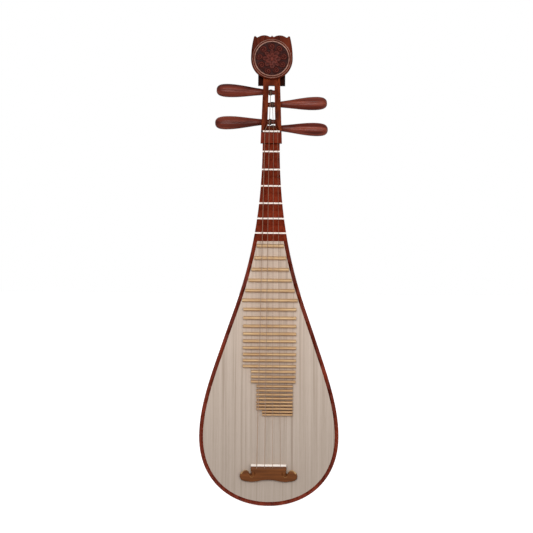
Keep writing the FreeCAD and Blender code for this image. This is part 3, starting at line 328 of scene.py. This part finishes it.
def tailpiece_wood(name):
    """The bridge's brown wood, with a painted highlight round the upper edge of each wing's knob."""
    made = Recipe(name, 0.45, 0.0, 0.25, 0.18)
    figure = made.noise(made.place(grain_scale("X", 160), (4, 4, 4)), 5, 0.6, 0.4)
    pores = made.noise(made.place(grain_scale("X", 1200)), 2, 0.5)
    stops = [(0.3, srgb(82, 42, 14)), (0.5, srgb(108, 60, 24)), (0.7, srgb(128, 74, 34))]
    colour = made.ramp(figure, stops)
    from_x = made.sums("SUBTRACT", made.sums("ABSOLUTE", made.axis("X")), KNOB_X)
    from_z = made.sums("SUBTRACT", made.axis("Z"), KNOB_Z)
    square = made.sums(
        "ADD", made.sums("MULTIPLY", from_x, from_x), made.sums("MULTIPLY", from_z, from_z)
    )
    away = made.sums("SQRT", square)
    away = made.sums("ADD", away, made.sums("MULTIPLY", made.sums("SUBTRACT", figure, 0.5), 0.004))
    # painted highlight: a pale band along the upper, outer part of each knob's rounded edge, where the light from
    # above catches it
    band = made.spread(away, KNOB_RADIUS - 4.4 * MM, KNOB_RADIUS - 2.6 * MM)
    upper = made.spread(from_z, -0.5 * MM, 3.5 * MM)
    outside = made.spread(from_x, -9.5 * MM, -7.0 * MM)
    pale = made.sums("MULTIPLY", made.sums("MULTIPLY", band, upper), outside)
    colour = made.mix(made.sums("MULTIPLY", pale, 0.85), colour, srgb(204, 168, 116))
    pore = made.spread(pores, 0.56, 0.68)
    colour = made.mix(made.sums("MULTIPLY", pore, 0.4), colour, srgb(70, 36, 18))
    return made.finish(colour, made.sums("SUBTRACT", 1.0, pore), 0.25, 0.0002)


def string_material(name, dark, light, painted_board_light=0.0):
    """Nylon-wound steel: fine rings round the string, and painted light making it paler where it runs over the
    pale board.
    """
    made = Recipe(name, 0.5, 0.0, 0.1, 0.14)
    turns = made.tree.nodes.new("ShaderNodeTexWave")
    turns.wave_type = "BANDS"
    turns.bands_direction = "Z"
    turns.inputs["Scale"].default_value = 1.0
    made.link(made.place((0, 0, 900)), turns.inputs["Vector"])
    wear = made.noise(made.place((90, 90, 40)), 3, 0.5)
    colour = made.ramp(wear, [(0.3, dark), (0.7, light)])
    # painted light: the string is paler where it runs over the pale board, by the share given
    painted_light_over_board = made.spread(made.axis("Z"), 0.50, 0.60, painted_board_light, 0.0)
    colour = made.mix(painted_light_over_board, colour, srgb(198, 172, 150))
    ring = turns.outputs["Fac"]
    colour = made.mix(made.sums("MULTIPLY", ring, 0.3), colour, srgb(92, 72, 58))
    return made.finish(colour, ring, 0.3, 0.0001)


# ---- mesh pieces ----


def new_object(name, mesh, material, body):
    """A piece in the scene, with its material, on its body."""
    piece = bpy.data.objects.new(name, mesh)
    bpy.context.scene.collection.objects.link(piece)
    piece.data.materials.clear()
    piece.data.materials.append(material)
    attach(piece, body)
    return piece


def smooth(mesh, angle=35.0):
    """Smooth shading, with edges sharper than an angle kept crisp."""
    mesh.shade_smooth()
    mesh.set_sharp_from_angle(angle=math.radians(angle))


def body_of(node):
    """The body that carries a CAD node."""
    for body, members in frame["record"]["behaviour"]["bodies"].items():
        if node in members:
            return body
    raise KeyError(node)


def merged(mesh):
    """A mesh's shape with its repeated vertices joined."""
    shape = bmesh.new()
    shape.from_mesh(mesh)
    bmesh.ops.remove_doubles(shape, verts=shape.verts, dist=MERGE_DISTANCE)
    return shape


def recoated(node, material):
    """Gives a CAD node's own mesh a material."""
    materials = frame["nodes"][node].data.materials
    materials.clear()
    materials.append(material)


def softened(node, material, width=0.0, flat=True, long_edges=0.0):
    """A CAD node's form with its sharp edges eased, standing in for the node."""
    mesh = frame["nodes"][node].data.copy()
    shape = merged(mesh)
    if flat:
        bmesh.ops.dissolve_limit(
            shape, angle_limit=math.radians(0.5), verts=shape.verts, edges=shape.edges
        )
    if long_edges:
        sharp = []
        for edge in shape.edges:
            span = (edge.verts[0].co - edge.verts[1].co).length
            corner = edge.calc_face_angle(0.0)
            if span > 12 * MM and corner > math.radians(60) and edge.is_convex:
                sharp.append(edge)
        bmesh.ops.bevel(
            shape,
            geom=sharp,
            offset=long_edges,
            segments=4,
            profile=0.5,
            affect="EDGES",
            clamp_overlap=True,
        )
    shape.to_mesh(mesh)
    shape.free()
    smooth(mesh)
    piece = new_object(node + "_form", mesh, material, body_of(node))
    if width:
        bevel = piece.modifiers.new("eased edges", "BEVEL")
        bevel.width = width
        bevel.segments = 2
        bevel.limit_method = "ANGLE"
        bevel.angle_limit = math.radians(38)
        bevel.harden_normals = False
    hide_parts(node)
    return piece


def plank_joints():
    """The x of each plank's left side, and the board's right side, from its solids."""
    shape = merged(frame["nodes"]["soundboard"].data)
    left = set(shape.verts)
    edges = []
    while left:
        island = [left.pop()]
        across = []
        while island:
            vertex = island.pop()
            across.append(vertex.co.x)
            for edge in vertex.link_edges:
                other = edge.other_vert(vertex)
                if other in left:
                    left.discard(other)
                    island.append(other)
        edges += [min(across), max(across)]
    shape.free()
    return sorted(set(round(value, 4) for value in edges))


def peg_axis(number):
    """A peg's centre, outward direction and the profile (run, radius) of its CAD form."""
    joint = next(j for j in frame["joints"] if j["child"] == f"tuner_{number}")
    centre = Vector(joint["pos_m"])
    along = Vector(joint["axis"]).normalized()
    rings = {}
    for vertex in frame["nodes"][f"peg_{number}"].data.vertices:
        offset = vertex.co - centre
        run = offset.dot(along)
        radius = (offset - along * run).length
        key = round(run, 4)
        rings[key] = max(rings.get(key, 0.0), radius)
    profile = sorted(rings.items())
    return centre, along, profile


def radius_at(profile, run):
    """Radius of a turned form at one place along its axis."""
    for (a, low), (b, high) in zip(profile, profile[1:]):
        if a <= run <= b:
            return low + (high - low) * (run - a) / max(b - a, 1e-9)
    return 0.0


def square_to(along):
    """Two directions at right angles to an axis and to each other."""
    side = along.cross(UP).normalized()
    return side, side.cross(along).normalized()


def lathe_rings(mesh, rings):
    """Joins rings of points into one closed skin, with a point at each end."""
    count = len(rings[0])
    shape = bmesh.new()
    rows = [[shape.verts.new(point) for point in ring] for ring in rings]
    for low, high in zip(rows, rows[1:]):
        for index in range(count):
            following = (index + 1) % count
            shape.faces.new((low[index], low[following], high[following], high[index]))
    for row, flip in ((rows[0], True), (rows[-1], False)):
        middle = sum((vertex.co for vertex in row), Vector()) / count
        tip = shape.verts.new(middle)
        for index in range(count):
            following = (index + 1) % count
            corner = (row[index], row[following], tip)
            shape.faces.new(tuple(reversed(corner)) if flip else corner)
    bmesh.ops.recalc_face_normals(shape, faces=shape.faces)
    shape.to_mesh(mesh)
    shape.free()


# a peg's shaft is thinner than the limit and ends within the reach from the pegbox's middle
SHAFT_LIMIT = 6.4 * MM
SHAFT_REACH = 30 * MM
SHAFT_STEPS = 12
HANDLE_STEPS = 84
PEG_SIDES = 100
FLUTES = 8
FLUTE_DEPTH = 0.9 * MM


def make_peg(number, material):
    """A fluted peg handle on its tapered shaft, on the CAD peg's profile."""
    centre, along, profile = peg_axis(number)
    start, end = profile[0][0], profile[-1][0]
    shaft = [run for run, radius in profile if radius < SHAFT_LIMIT and run < SHAFT_REACH]
    root = max(shaft)
    side, other = square_to(along)
    runs = [start + (root - start) * step / SHAFT_STEPS for step in range(SHAFT_STEPS + 1)]
    first = root + 0.4 * MM
    reach = end - 0.2 * MM - first
    runs.append(first)
    for step in range(1, HANDLE_STEPS + 1):
        share = step / HANDLE_STEPS
        runs.append(first + reach * math.sin(share * math.pi / 2) ** 0.9)
    rings = []
    for run in runs:
        radius = radius_at(profile, run)
        share = (run - root) / (end - root)
        rise = max(0.0, min(1.0, (share - 0.10) / 0.25))
        fade = rise * max(0.0, min(1.0, (0.93 - share) / 0.08))
        ring = []
        for index in range(PEG_SIDES):
            angle = 2 * math.pi * index / PEG_SIDES
            wave = abs(math.sin(angle * FLUTES / 2)) ** 0.7
            deep = FLUTE_DEPTH * fade * (1 - wave)
            offset = side * math.cos(angle) + other * math.sin(angle)
            ring.append(centre + along * run + offset * (radius - deep))
        rings.append(ring)
    mesh = bpy.data.meshes.new(f"peg_{number}_turned")
    lathe_rings(mesh, rings)
    smooth(mesh, 50)
    body = f"tuner_{number}"
    piece = new_object(f"peg_{number}_turned", mesh, material, body)
    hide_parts(f"peg_{number}")


def round_line(name, points, radius, material, body, closed=False):
    """A round line through points, riding on a body."""
    curve = bpy.data.curves.new(name, "CURVE")
    curve.dimensions = "3D"
    curve.bevel_depth = radius
    curve.bevel_resolution = 3
    curve.use_fill_caps = not closed
    spline = curve.splines.new("POLY")
    spline.points.add(len(points) - 1)
    for point, place in zip(spline.points, points):
        point.co = (*place, 1.0)
    spline.use_cyclic_u = closed
    curve.materials.append(material)
    line = bpy.data.objects.new(name, curve)
    bpy.context.scene.collection.objects.link(line)
    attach(line, body)
    return line


TURN_POINTS = 28
TURN_TIGHTNESS = 0.94


def make_winding(number, material):
    """A string's turns on its peg, a real helix in the room of the CAD sleeve."""
    node = f"string_winding_{number}"
    centre, along, _ = peg_axis(number)
    runs = []
    radii = []
    for vertex in frame["nodes"][node].data.vertices:
        offset = vertex.co - centre
        run = offset.dot(along)
        runs.append(run)
        radii.append((offset - along * run).length)
    low, high = min(runs), max(runs)
    inner, outer = min(radii), max(radii)
    thick = (outer - inner) * TURN_TIGHTNESS
    side, other = square_to(along)
    turns = max(3, int((high - low) / thick))
    total = turns * TURN_POINTS
    points = []
    for step in range(total + 1):
        share = step / total
        angle = 2 * math.pi * turns * share
        run = low + thick / 2 + (high - low - thick) * share
        offset = side * math.cos(angle) + other * math.sin(angle)
        points.append(centre + along * run + offset * (outer - thick / 2))
    body = f"tuner_{number}"
    helix = round_line(node + "_helix", points, thick / 2, material, body)
    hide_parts(node)


# ---- carved plates: a modelled front and back inside an outline ----


def outline_of(node, depth):
    """The outer loop, as (x, z) points, of a node's flat face at one depth."""
    shape = merged(frame["nodes"][node].data)
    flat = {f for f in shape.faces if all(abs(v.co.y - depth) < 0.02 * MM for v in f.verts)}
    links = {}
    for edge in shape.edges:
        if sum(face in flat for face in edge.link_faces) == 1:
            first, second = edge.verts
            links.setdefault(first.index, []).append(second.index)
            links.setdefault(second.index, []).append(first.index)
    shape.verts.ensure_lookup_table()
    loops = []
    while links:
        start = next(iter(links))
        loop = [start]
        while links.get(loop[-1]):
            following = links[loop[-1]].pop()
            if following in links:
                links[following].remove(loop[-1])
            if following == start:
                break
            loop.append(following)
        for index in loop:
            links.pop(index, None)
        loops.append([(shape.verts[i].co.x, shape.verts[i].co.z) for i in loop])
    shape.free()
    return max(loops, key=lambda loop: max(x for x, _ in loop) - min(x for x, _ in loop))


def evenly(loop, spacing):
    """A loop with extra points, so that no step is longer than the spacing."""
    points = []
    for (ax, az), (bx, bz) in zip(loop, loop[1:] + loop[:1]):
        steps = max(1, math.ceil(math.hypot(bx - ax, bz - az) / spacing))
        for step in range(steps):
            share = step / steps
            points.append((ax + (bx - ax) * share, az + (bz - az) * share))
    return points


def edge_distance(points, loop):
    """Distance from each point to a closed loop, and whether it lies inside."""
    at = np.array(points)[:, None, :]
    start = np.array(loop)[None, :, :]
    step = np.roll(start, -1, axis=1) - start
    share = ((at - start) * step).sum(2) / np.maximum((step**2).sum(2), 1e-18)
    near = start + np.clip(share, 0, 1)[..., None] * step
    distance = np.sqrt(((at - near) ** 2).sum(2)).min(1)
    end = start + step
    crosses = (start[..., 1] > at[..., 1]) != (end[..., 1] > at[..., 1])
    rise = np.where(np.abs(step[..., 1]) < 1e-15, 1e-15, step[..., 1])
    cut = start[..., 0] + (at[..., 1] - start[..., 1]) * step[..., 0] / rise
    inside = (crosses & (at[..., 0] < cut)).sum(1) % 2 == 1
    return distance, inside


ROW_SHARE = 0.87
EDGE_BAND = 3.2 * MM
# how far from the rim each extra row of points lies, in mm, so that rounded edges are smooth
EDGE_ROWS = (0.12, 0.4, 0.8, 1.3, 1.9, 2.6)


def carved_plate(name, loop, spacing, front, back, extra=()):
    """A closed mesh inside a loop; front and back give y from (x, z, edge distance)."""
    rim = evenly(loop, spacing)
    low = np.min(rim, axis=0)
    high = np.max(rim, axis=0)
    inner = []
    rows = int((high[1] - low[1]) / (spacing * ROW_SHARE))
    for row in range(rows + 1):
        z = low[1] + row * spacing * ROW_SHARE
        shift = spacing / 2 * (row % 2)
        for column in range(int((high[0] - low[0]) / spacing) + 1):
            inner.append((low[0] + shift + column * spacing, z))
    distance, inside = edge_distance(inner, rim)
    inner = [p for p, d, ok in zip(inner, distance, inside) if ok and d > EDGE_BAND]
    close = []
    for away in EDGE_ROWS:
        ring = []
        for (ax, az), (bx, bz) in zip(rim, rim[1:] + rim[:1]):
            length = math.hypot(bx - ax, bz - az)
            nx, nz = (bz - az) / length * away * MM, -(bx - ax) / length * away * MM
            ring.append(((ax + bx) / 2 + nx, (az + bz) / 2 + nz))
            ring.append(((ax + bx) / 2 - nx, (az + bz) / 2 - nz))
        distance, inside = edge_distance(ring, rim)
        fits = abs(distance - away * MM) < 0.06 * MM
        close.extend(p for p, ok, good in zip(ring, inside, fits) if ok and good)
    more = list(extra)
    if more:
        distance, inside = edge_distance(more, rim)
        more = [p for p, d, ok in zip(more, distance, inside) if ok and d > 0.15 * MM]
    points = rim + inner + close + more
    edges = [(i, (i + 1) % len(rim)) for i in range(len(rim))]
    flat = delaunay_2d_cdt([Vector(p) for p in points], edges, [], 1, 1e-6)
    places = [(v.x, v.y) for v in flat[0]]
    distance, _ = edge_distance(places, rim)
    shape = bmesh.new()
    sides = []
    for surface in (front, back):
        verts = []
        for (x, z), away in zip(places, distance):
            verts.append(shape.verts.new((x, surface(x, z, away), z)))
        for corners in flat[2]:
            shape.faces.new([verts[index] for index in corners])
        sides.append(verts)
    uses = {}
    for corners in flat[2]:
        for a, b in zip(corners, corners[1:] + corners[:1]):
            key = (min(a, b), max(a, b))
            uses[key] = uses.get(key, 0) + 1
    for (a, b), count in uses.items():
        if count == 1:
            shape.faces.new((sides[0][a], sides[0][b], sides[1][b], sides[1][a]))
    bmesh.ops.recalc_face_normals(shape, faces=shape.faces)
    mesh = bpy.data.meshes.new(name)
    shape.to_mesh(mesh)
    shape.free()
    smooth(mesh, 40)
    return mesh


def rounded(away, radius):
    """How far a surface falls back at a distance from its edge, for a rounded edge."""
    if away >= radius:
        return 0.0
    return radius - math.sqrt(max(0.0, radius**2 - (radius - away) ** 2))


def circle_points(x, z, radius, spacing):
    """Points round a circle."""
    count = max(8, int(2 * math.pi * radius / spacing))
    turns = [2 * math.pi * index / count for index in range(count)]
    return [(x + radius * math.cos(t), z + radius * math.sin(t)) for t in turns]


BEAD_OFFSET = 3.0 * MM
BEAD_RADIUS = 0.5 * MM
POCKET_MARGIN = 0.1 * MM
COVE_DEPTH = 0.9 * MM
GROOVE_DEPTH = 0.7 * MM
HEAD_EDGE = 2.4 * MM


def make_head(material, bead_highlight_material):
    """The head block: rounded edges, a cove round the medallion and a fine bead line."""
    low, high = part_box("head_block")
    disc_low, disc_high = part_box("medallion_ring")
    centre = (disc_low.z + disc_high.z) / 2
    pocket = (disc_high.x - disc_low.x) / 2 + POCKET_MARGIN
    bead = pocket + BEAD_OFFSET
    floor = disc_high.y

    def front(x, z, away):
        radius = math.hypot(x, z - centre)
        if radius < pocket:
            return floor
        groove = 0.0
        if radius < bead - 0.6 * MM:
            groove = COVE_DEPTH
        elif radius < bead + 0.7 * MM:
            groove = GROOVE_DEPTH
        return low.y + groove + rounded(away, HEAD_EDGE)

    def back(x, z, away):
        return high.y - rounded(away, HEAD_EDGE)

    extra = []
    for radius in (
        pocket - 0.06 * MM,
        pocket + 0.02 * MM,
        bead - 0.66 * MM,
        bead - 0.56 * MM,
        bead + 0.64 * MM,
        bead + 0.76 * MM,
    ):
        extra += circle_points(0, centre, radius, 0.9 * MM)
    loop = outline_of("head_block", high.y)
    mesh = carved_plate("head_block_carved", loop, 1.1 * MM, front, back, extra)
    piece = new_object("head_block_carved", mesh, material, ROOT)
    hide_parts("head_block")
    # the bead line is drawn in the pale painted-highlight bead material
    places = circle_points(0, centre, bead, 1.0 * MM)
    points = [(x, low.y + 0.55 * MM, z) for x, z in places]
    round_line("head_bead_line", points, BEAD_RADIUS, bead_highlight_material, ROOT, closed=True)


# the rounded knob at each wing's end, and the eye drilled beside it
KNOB_X = 49.5 * MM
KNOB_RADIUS = 11.6 * MM
BRIDGE_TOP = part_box("bridge")[1].z
KNOB_Z = BRIDGE_TOP - 17.0 * MM
EYE_X = 37.4 * MM
EYE_Z = BRIDGE_TOP - 16.3 * MM
EYE_RADIUS = 2.3 * MM
EYE_DEPTH = 3.5 * MM
CUT_HALF = 1.1 * MM
CUT_DEPTH = 1.5 * MM
CUT_STEPS = 6
# the cut line from each notch round under the eye, as (distance from the centreline, drop) in mm
CUT_LINE = (
    (41.6, 7.5),
    (40.6, 11.5),
    (41.0, 16.0),
    (39.2, 20.2),
    (35.0, 21.8),
    (30.8, 19.4),
    (29.2, 15.2),
    (30.4, 12.2),
)
# the raised curl under each eye, given in the same way
CURL_RIDGE = (
    (40.8, 20.6),
    (39.4, 22.2),
    (37.2, 23.2),
    (34.8, 22.8),
    (32.8, 21.2),
    (31.6, 19.2),
)
CURL_RADIUS = 0.5 * MM


def cut_path(side):
    """Close points along the line cut beside a wing."""
    path = []
    for first, second in zip(CUT_LINE, CUT_LINE[1:]):
        for step in range(CUT_STEPS):
            share = step / CUT_STEPS
            x = first[0] + (second[0] - first[0]) * share
            drop = first[1] + (second[1] - first[1]) * share
            path.append((side * x * MM, BRIDGE_TOP - drop * MM))
    return path


def make_bridge(material, ridge_material):
    """The tailpiece bridge: rounded wings, and a cut line, an eye and a curl by each wing."""
    low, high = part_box("bridge")
    skin = BVHTree.FromObject(frame["nodes"]["bridge"], bpy.context.evaluated_depsgraph_get())
    paths = [np.array(cut_path(side)) for side in (-1, 1)]

    def surface(x, z):
        for shift in (0.0, 0.3, 0.8, 1.5):
            pull = 1 - shift / 60
            aim = Vector((x * pull, -1.0, z + (shift * MM if z < KNOB_Z else -shift * MM)))
            hit = skin.ray_cast(aim, Vector((0, 1, 0)))[0]
            if hit is not None:
                return hit.y
        return low.y / 2

    def front(x, z, away):
        y = surface(x, z)
        room = min(1.0, max(0.0, (high.z - 0.6 * MM - z) / (2.0 * MM)))
        wide = 3.6 * MM if abs(x) > 42 * MM else 1.6 * MM
        y += rounded(away, wide) * room
        near = min(np.hypot(path[:, 0] - x, path[:, 1] - z).min() for path in paths)
        if near < CUT_HALF:
            y += CUT_DEPTH * (1 - (near / CUT_HALF) ** 2)
        eye = math.hypot(abs(x) - EYE_X, z - EYE_Z)
        if eye < EYE_RADIUS:
            y += EYE_DEPTH * min(1.0, (EYE_RADIUS - eye) / (0.6 * MM))
        return min(y, high.y - 1.0 * MM)

    def back(x, z, away):
        return high.y

    extra = []
    for side in (-1, 1):
        for radius in (0.6, 1.2, 1.7, 2.3):
            extra += circle_points(side * EYE_X, EYE_Z, radius * MM, 0.5 * MM)
    loop = outline_of("bridge", high.y)
    mesh = carved_plate("bridge_carved", loop, 0.7 * MM, front, back, extra)
    piece = new_object("bridge_carved", mesh, material, ROOT)
    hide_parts("bridge")
    for side, name in ((-1, "left"), (1, "right")):
        places = [(side * x * MM, high.z - drop * MM) for x, drop in CURL_RIDGE]
        points = [(x, front(x, z, 9 * MM) + 0.1 * MM, z) for x, z in places]
        round_line(f"bridge_curl_{name}", points, CURL_RADIUS, ridge_material, ROOT)


# ---- the carved medallion: a generic flower among scrolls ----


# petals, reach, length, width, lift and turn of each ring of petals, on the unit disc
PETAL_RINGS = (
    (8, 0.36, 0.26, 0.17, 0.66, 0.0),
    (6, 0.20, 0.21, 0.15, 0.85, 0.4),
)
BUTTON_RADIUS = 0.13
SCROLLS = 9
SCROLL_REACH = 0.75
SCROLL_SIZE = 0.24
SCROLL_LIFT = 0.7
WANDER = 0.07


def petal(u, v, angle, reach, length, width):
    """Height of one petal whose root is at reach along an angle, with a ridge."""
    c, s = math.cos(angle), math.sin(angle)
    along = (u * c + v * s - reach) / length
    across = (-u * s + v * c) / width
    shape = 1 - along * along - across * across
    if shape <= 0:
        return 0.0
    ridge = 0.22 * math.exp(-(across * 5) ** 2)
    return min(1.0, shape * 2.4) * (0.72 + 0.28 * along) - ridge * shape


def scroll(u, v, x, y, size, turn):
    """Height of a round cloud scroll, a spiral ridge that fades outwards."""
    dx, dy = u - x, v - y
    away = math.hypot(dx, dy) / size
    if away >= 1:
        return 0.0
    wind = math.atan2(dy, dx) * turn / (2 * math.pi)
    wave = 0.5 + 0.5 * math.cos(2 * math.pi * (away * 2.0 - wind))
    return (0.35 + 0.65 * wave) * min(1.0, (1 - away) * 3.0)


def relief(u, v):
    """Relief height between 0 and 1 at a place on the unit disc."""
    u += WANDER * noise.noise(Vector((u * 2.6, v * 2.6, 4.1)))
    v += WANDER * noise.noise(Vector((u * 2.6, v * 2.6, 8.3)))
    away = math.hypot(u, v)
    height = 0.20 + 0.16 * noise.noise(Vector((u * 7, v * 7, 1.7)))
    for count, reach, length, width, lift, turned in PETAL_RINGS:
        for index in range(count):
            angle = 2 * math.pi * index / count + turned
            height = max(height, lift * petal(u, v, angle, reach, length, width))
    if away < BUTTON_RADIUS:
        height = max(height, math.sqrt(max(0.0, 1 - (away / BUTTON_RADIUS) ** 2)))
    for index in range(SCROLLS):
        angle = 2 * math.pi * (index + 0.3) / SCROLLS
        x, y = SCROLL_REACH * math.cos(angle), SCROLL_REACH * math.sin(angle)
        turn = 1 if index % 2 else -1
        height = max(height, SCROLL_LIFT * scroll(u, v, x, y, SCROLL_SIZE, turn))
    return height


CARVING_FLOOR = 1.3 * MM
CARVING_LIFT = 3.0 * MM
CARVING_RINGS = 84
CARVING_SIDES = 220


def make_medallion(material):
    """The carved disc: its relief as real geometry, inside the bead ring."""
    low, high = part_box("medallion")
    middle = (low + high) / 2
    radius = (high.x - low.x) / 2 - 0.05 * MM
    back = high.y
    floor = back - CARVING_FLOOR
    mesh = bpy.data.meshes.new("medallion_carving")
    shape = bmesh.new()
    centre = shape.verts.new((middle.x, floor - CARVING_LIFT * relief(0, 0), middle.z))
    rows = []
    for ring in range(1, CARVING_RINGS + 1):
        share = ring / CARVING_RINGS
        row = []
        for index in range(CARVING_SIDES):
            angle = 2 * math.pi * index / CARVING_SIDES
            u, v = share * math.cos(angle), share * math.sin(angle)
            y = floor - CARVING_LIFT * relief(u, v)
            row.append(shape.verts.new((middle.x + radius * u, y, middle.z + radius * v)))
        rows.append(row)
    rim = []
    for vertex in rows[-1]:
        rim.append(shape.verts.new((vertex.co.x, back, vertex.co.z)))
    rows.append(rim)
    for index in range(CARVING_SIDES):
        shape.faces.new((centre, rows[0][index], rows[0][(index + 1) % CARVING_SIDES]))
    for inner, outer in zip(rows, rows[1:]):
        for index in range(CARVING_SIDES):
            following = (index + 1) % CARVING_SIDES
            shape.faces.new((inner[index], outer[index], outer[following], inner[following]))
    shape.faces.new(rim)
    bmesh.ops.recalc_face_normals(shape, faces=shape.faces)
    shape.to_mesh(mesh)
    shape.free()
    smooth(mesh, 60)
    piece = new_object("medallion_carving", mesh, material, ROOT)
    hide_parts("medallion")


# ---- camera, light and floor ----

CAMERA_DISTANCE = 8.0
VIEW_WIDTH = 1.1566
VIEW_AIM = (-0.008, 0.5196)
VIEW_ROLL = 0.47
LIT_POINT = (0, 0, 0.5)
# name, place, size and power in watts
LIGHTS = (
    ("key", (-0.8, -8.4, 2.9), (3.2, 2.2), 350),
    ("fill", (2.8, -7.6, 0.8), (2.6, 1.4), 100),
)
AMBIENT = (0.50, 0.50, 0.505, 1)
WHITE = (1, 1, 1, 1)
BACKDROP_STARTS = 0.80
BACKDROP_FULL = 0.90
FLOOR_HALF = 60.0
FLOOR_GLOW = 0.75


def make_camera():
    """Level with the middle of the instrument, square to its front, with a slight roll."""
    data = bpy.data.cameras.new("camera")
    data.sensor_width = 36.0
    data.lens = data.sensor_width * CAMERA_DISTANCE / VIEW_WIDTH
    data.clip_end = 100.0
    camera = bpy.data.objects.new("camera", data)
    camera.location = (VIEW_AIM[0], -CAMERA_DISTANCE, VIEW_AIM[1])
    camera.rotation_mode = "QUATERNION"
    level = Quaternion((1, 0, 0), math.radians(90))
    camera.rotation_quaternion = level @ Quaternion((0, 0, 1), math.radians(VIEW_ROLL))
    bpy.context.scene.collection.objects.link(camera)
    bpy.context.scene.camera = camera


def area_light(name, place, size, power):
    """A soft rectangular light aimed at the instrument's middle."""
    data = bpy.data.lights.new(name, "AREA")
    data.shape = "RECTANGLE"
    data.size, data.size_y = size
    data.energy = power
    lamp = bpy.data.objects.new(name, data)
    lamp.location = place
    aim = Vector(LIT_POINT) - Vector(place)
    lamp.rotation_mode = "QUATERNION"
    lamp.rotation_quaternion = aim.to_track_quat("-Z", "Y")
    bpy.context.scene.collection.objects.link(lamp)


def make_world():
    """A pale studio: a white backdrop behind the instrument, softer light elsewhere."""
    world = bpy.data.worlds.new("studio")
    bpy.context.scene.world = world
    world.use_nodes = True
    tree = world.node_tree
    background = tree.nodes["Background"]
    coords = tree.nodes.new("ShaderNodeTexCoord")
    parts = tree.nodes.new("ShaderNodeSeparateXYZ")
    ramp = tree.nodes.new("ShaderNodeValToRGB")
    tree.links.new(coords.outputs["Generated"], parts.inputs["Vector"])
    tree.links.new(parts.outputs["Y"], ramp.inputs["Fac"])
    tree.links.new(ramp.outputs["Color"], background.inputs["Color"])
    stops = ramp.color_ramp.elements
    stops[0].position, stops[0].color = BACKDROP_STARTS, AMBIENT
    stops[1].position, stops[1].color = BACKDROP_FULL, WHITE
    background.inputs["Strength"].default_value = 1.0


def make_floor():
    """A plain white floor under the tail, lit evenly enough to melt into the backdrop."""
    half = FLOOR_HALF
    mesh = bpy.data.meshes.new("floor")
    corners = [(-half, -half, 0), (half, -half, 0), (half, half, 0), (-half, half, 0)]
    mesh.from_pydata(corners, [], [(0, 1, 2, 3)])
    made = Recipe("floor_white", 0.9, 0.0, 0.1, 0.1)
    speckle = made.noise(made.place((40, 40, 40)), 2, 0.5)
    colour = made.ramp(speckle, [(0.3, (0.86, 0.86, 0.86, 1)), (0.7, (0.9, 0.9, 0.9, 1))])
    made.shader.inputs["Emission Color"].default_value = WHITE
    made.shader.inputs["Emission Strength"].default_value = FLOOR_GLOW
    made.finish(colour)
    mesh.materials.append(made.material)
    floor = bpy.data.objects.new("floor", mesh)
    floor.location.z = sizes["cad"][0][2] - 0.5 * MM
    floor.visible_diffuse = False
    floor.visible_glossy = False
    bpy.context.scene.collection.objects.link(floor)
    floor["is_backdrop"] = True


def make_studio():
    """Camera, backdrop, floor and lights."""
    make_camera()
    make_world()
    make_floor()
    for light in LIGHTS:
        area_light(*light)
    bpy.context.scene.view_settings.view_transform = "Standard"


# ---- the instrument ----


def dress():
    """Every piece's form and material."""
    back_wood = rosewood("rosewood_back")
    neck_wood = rosewood("rosewood_neck", seed=2.3, shine=0.03)
    head_wood = rosewood("rosewood_head", seed=2.3, shine=0.03)
    fret_wood = rosewood("rosewood_fret", seed=4.1, shine=0.04)
    peg_wood = rosewood("rosewood_peg", "X", roughness=0.34, coat=0.07, seed=6.2, shine=0.12)
    dark_wood = rosewood("dark_rosewood", shine=0.01)
    carved = carved_wood("carved_rosewood")
    # painted highlight: the bead ring and bead line in a pale copy of the rosewood
    bead = rosewood("pale_bead", "X")
    board_wood = paulownia("paulownia_board", plank_joints())
    inner_wood = paulownia("spruce_inner", plank_joints())
    bone_white = bone("bone")
    cane = bamboo("bamboo")
    wire = string_material("wound_string", srgb(128, 92, 74), srgb(150, 114, 94), 0.6)
    # painted shade: the wound string again in darker tones, for the shade in the pegbox's slot where the turns sit
    shaded_turned_wire = string_material("wound_turns_shaded", srgb(66, 46, 38), srgb(96, 74, 62))
    brown = tailpiece_wood("tailpiece_wood")
    curl_wood = rosewood("curl_wood", "X")

    softened("back_shell", back_wood, flat=False)
    softened("soundboard", board_wood, 0.25 * MM)
    for node in XIANG:
        softened(node, fret_wood, 0.5 * MM)
    for node in PINS:
        softened(node, cane, 0.5 * MM)
    for node, width in (("nut", 0.3), ("bridge_saddle", 0.3), ("xiang_strips", 0.2)):
        softened(node, bone_white, width * MM)
    softened("phoenix_pillow", fret_wood, 0.8 * MM)
    softened("pegbox", neck_wood, 0.7 * MM, long_edges=1.6 * MM)
    softened("head_collar", dark_wood, 0.6 * MM)
    softened("medallion_ring", bead, 0.3 * MM)
    make_head(head_wood, bead)
    make_bridge(brown, curl_wood)
    make_medallion(carved)
    for number in STRINGS:
        make_peg(number, peg_wood)
        make_winding(number, shaded_turned_wire)
        recoated(f"string_{number}", wire)
    for node in ("soundboard_braces", "sound_post"):
        recoated(node, inner_wood)


make_studio()
dress()

sizes["visual"] = as_lists(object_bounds())
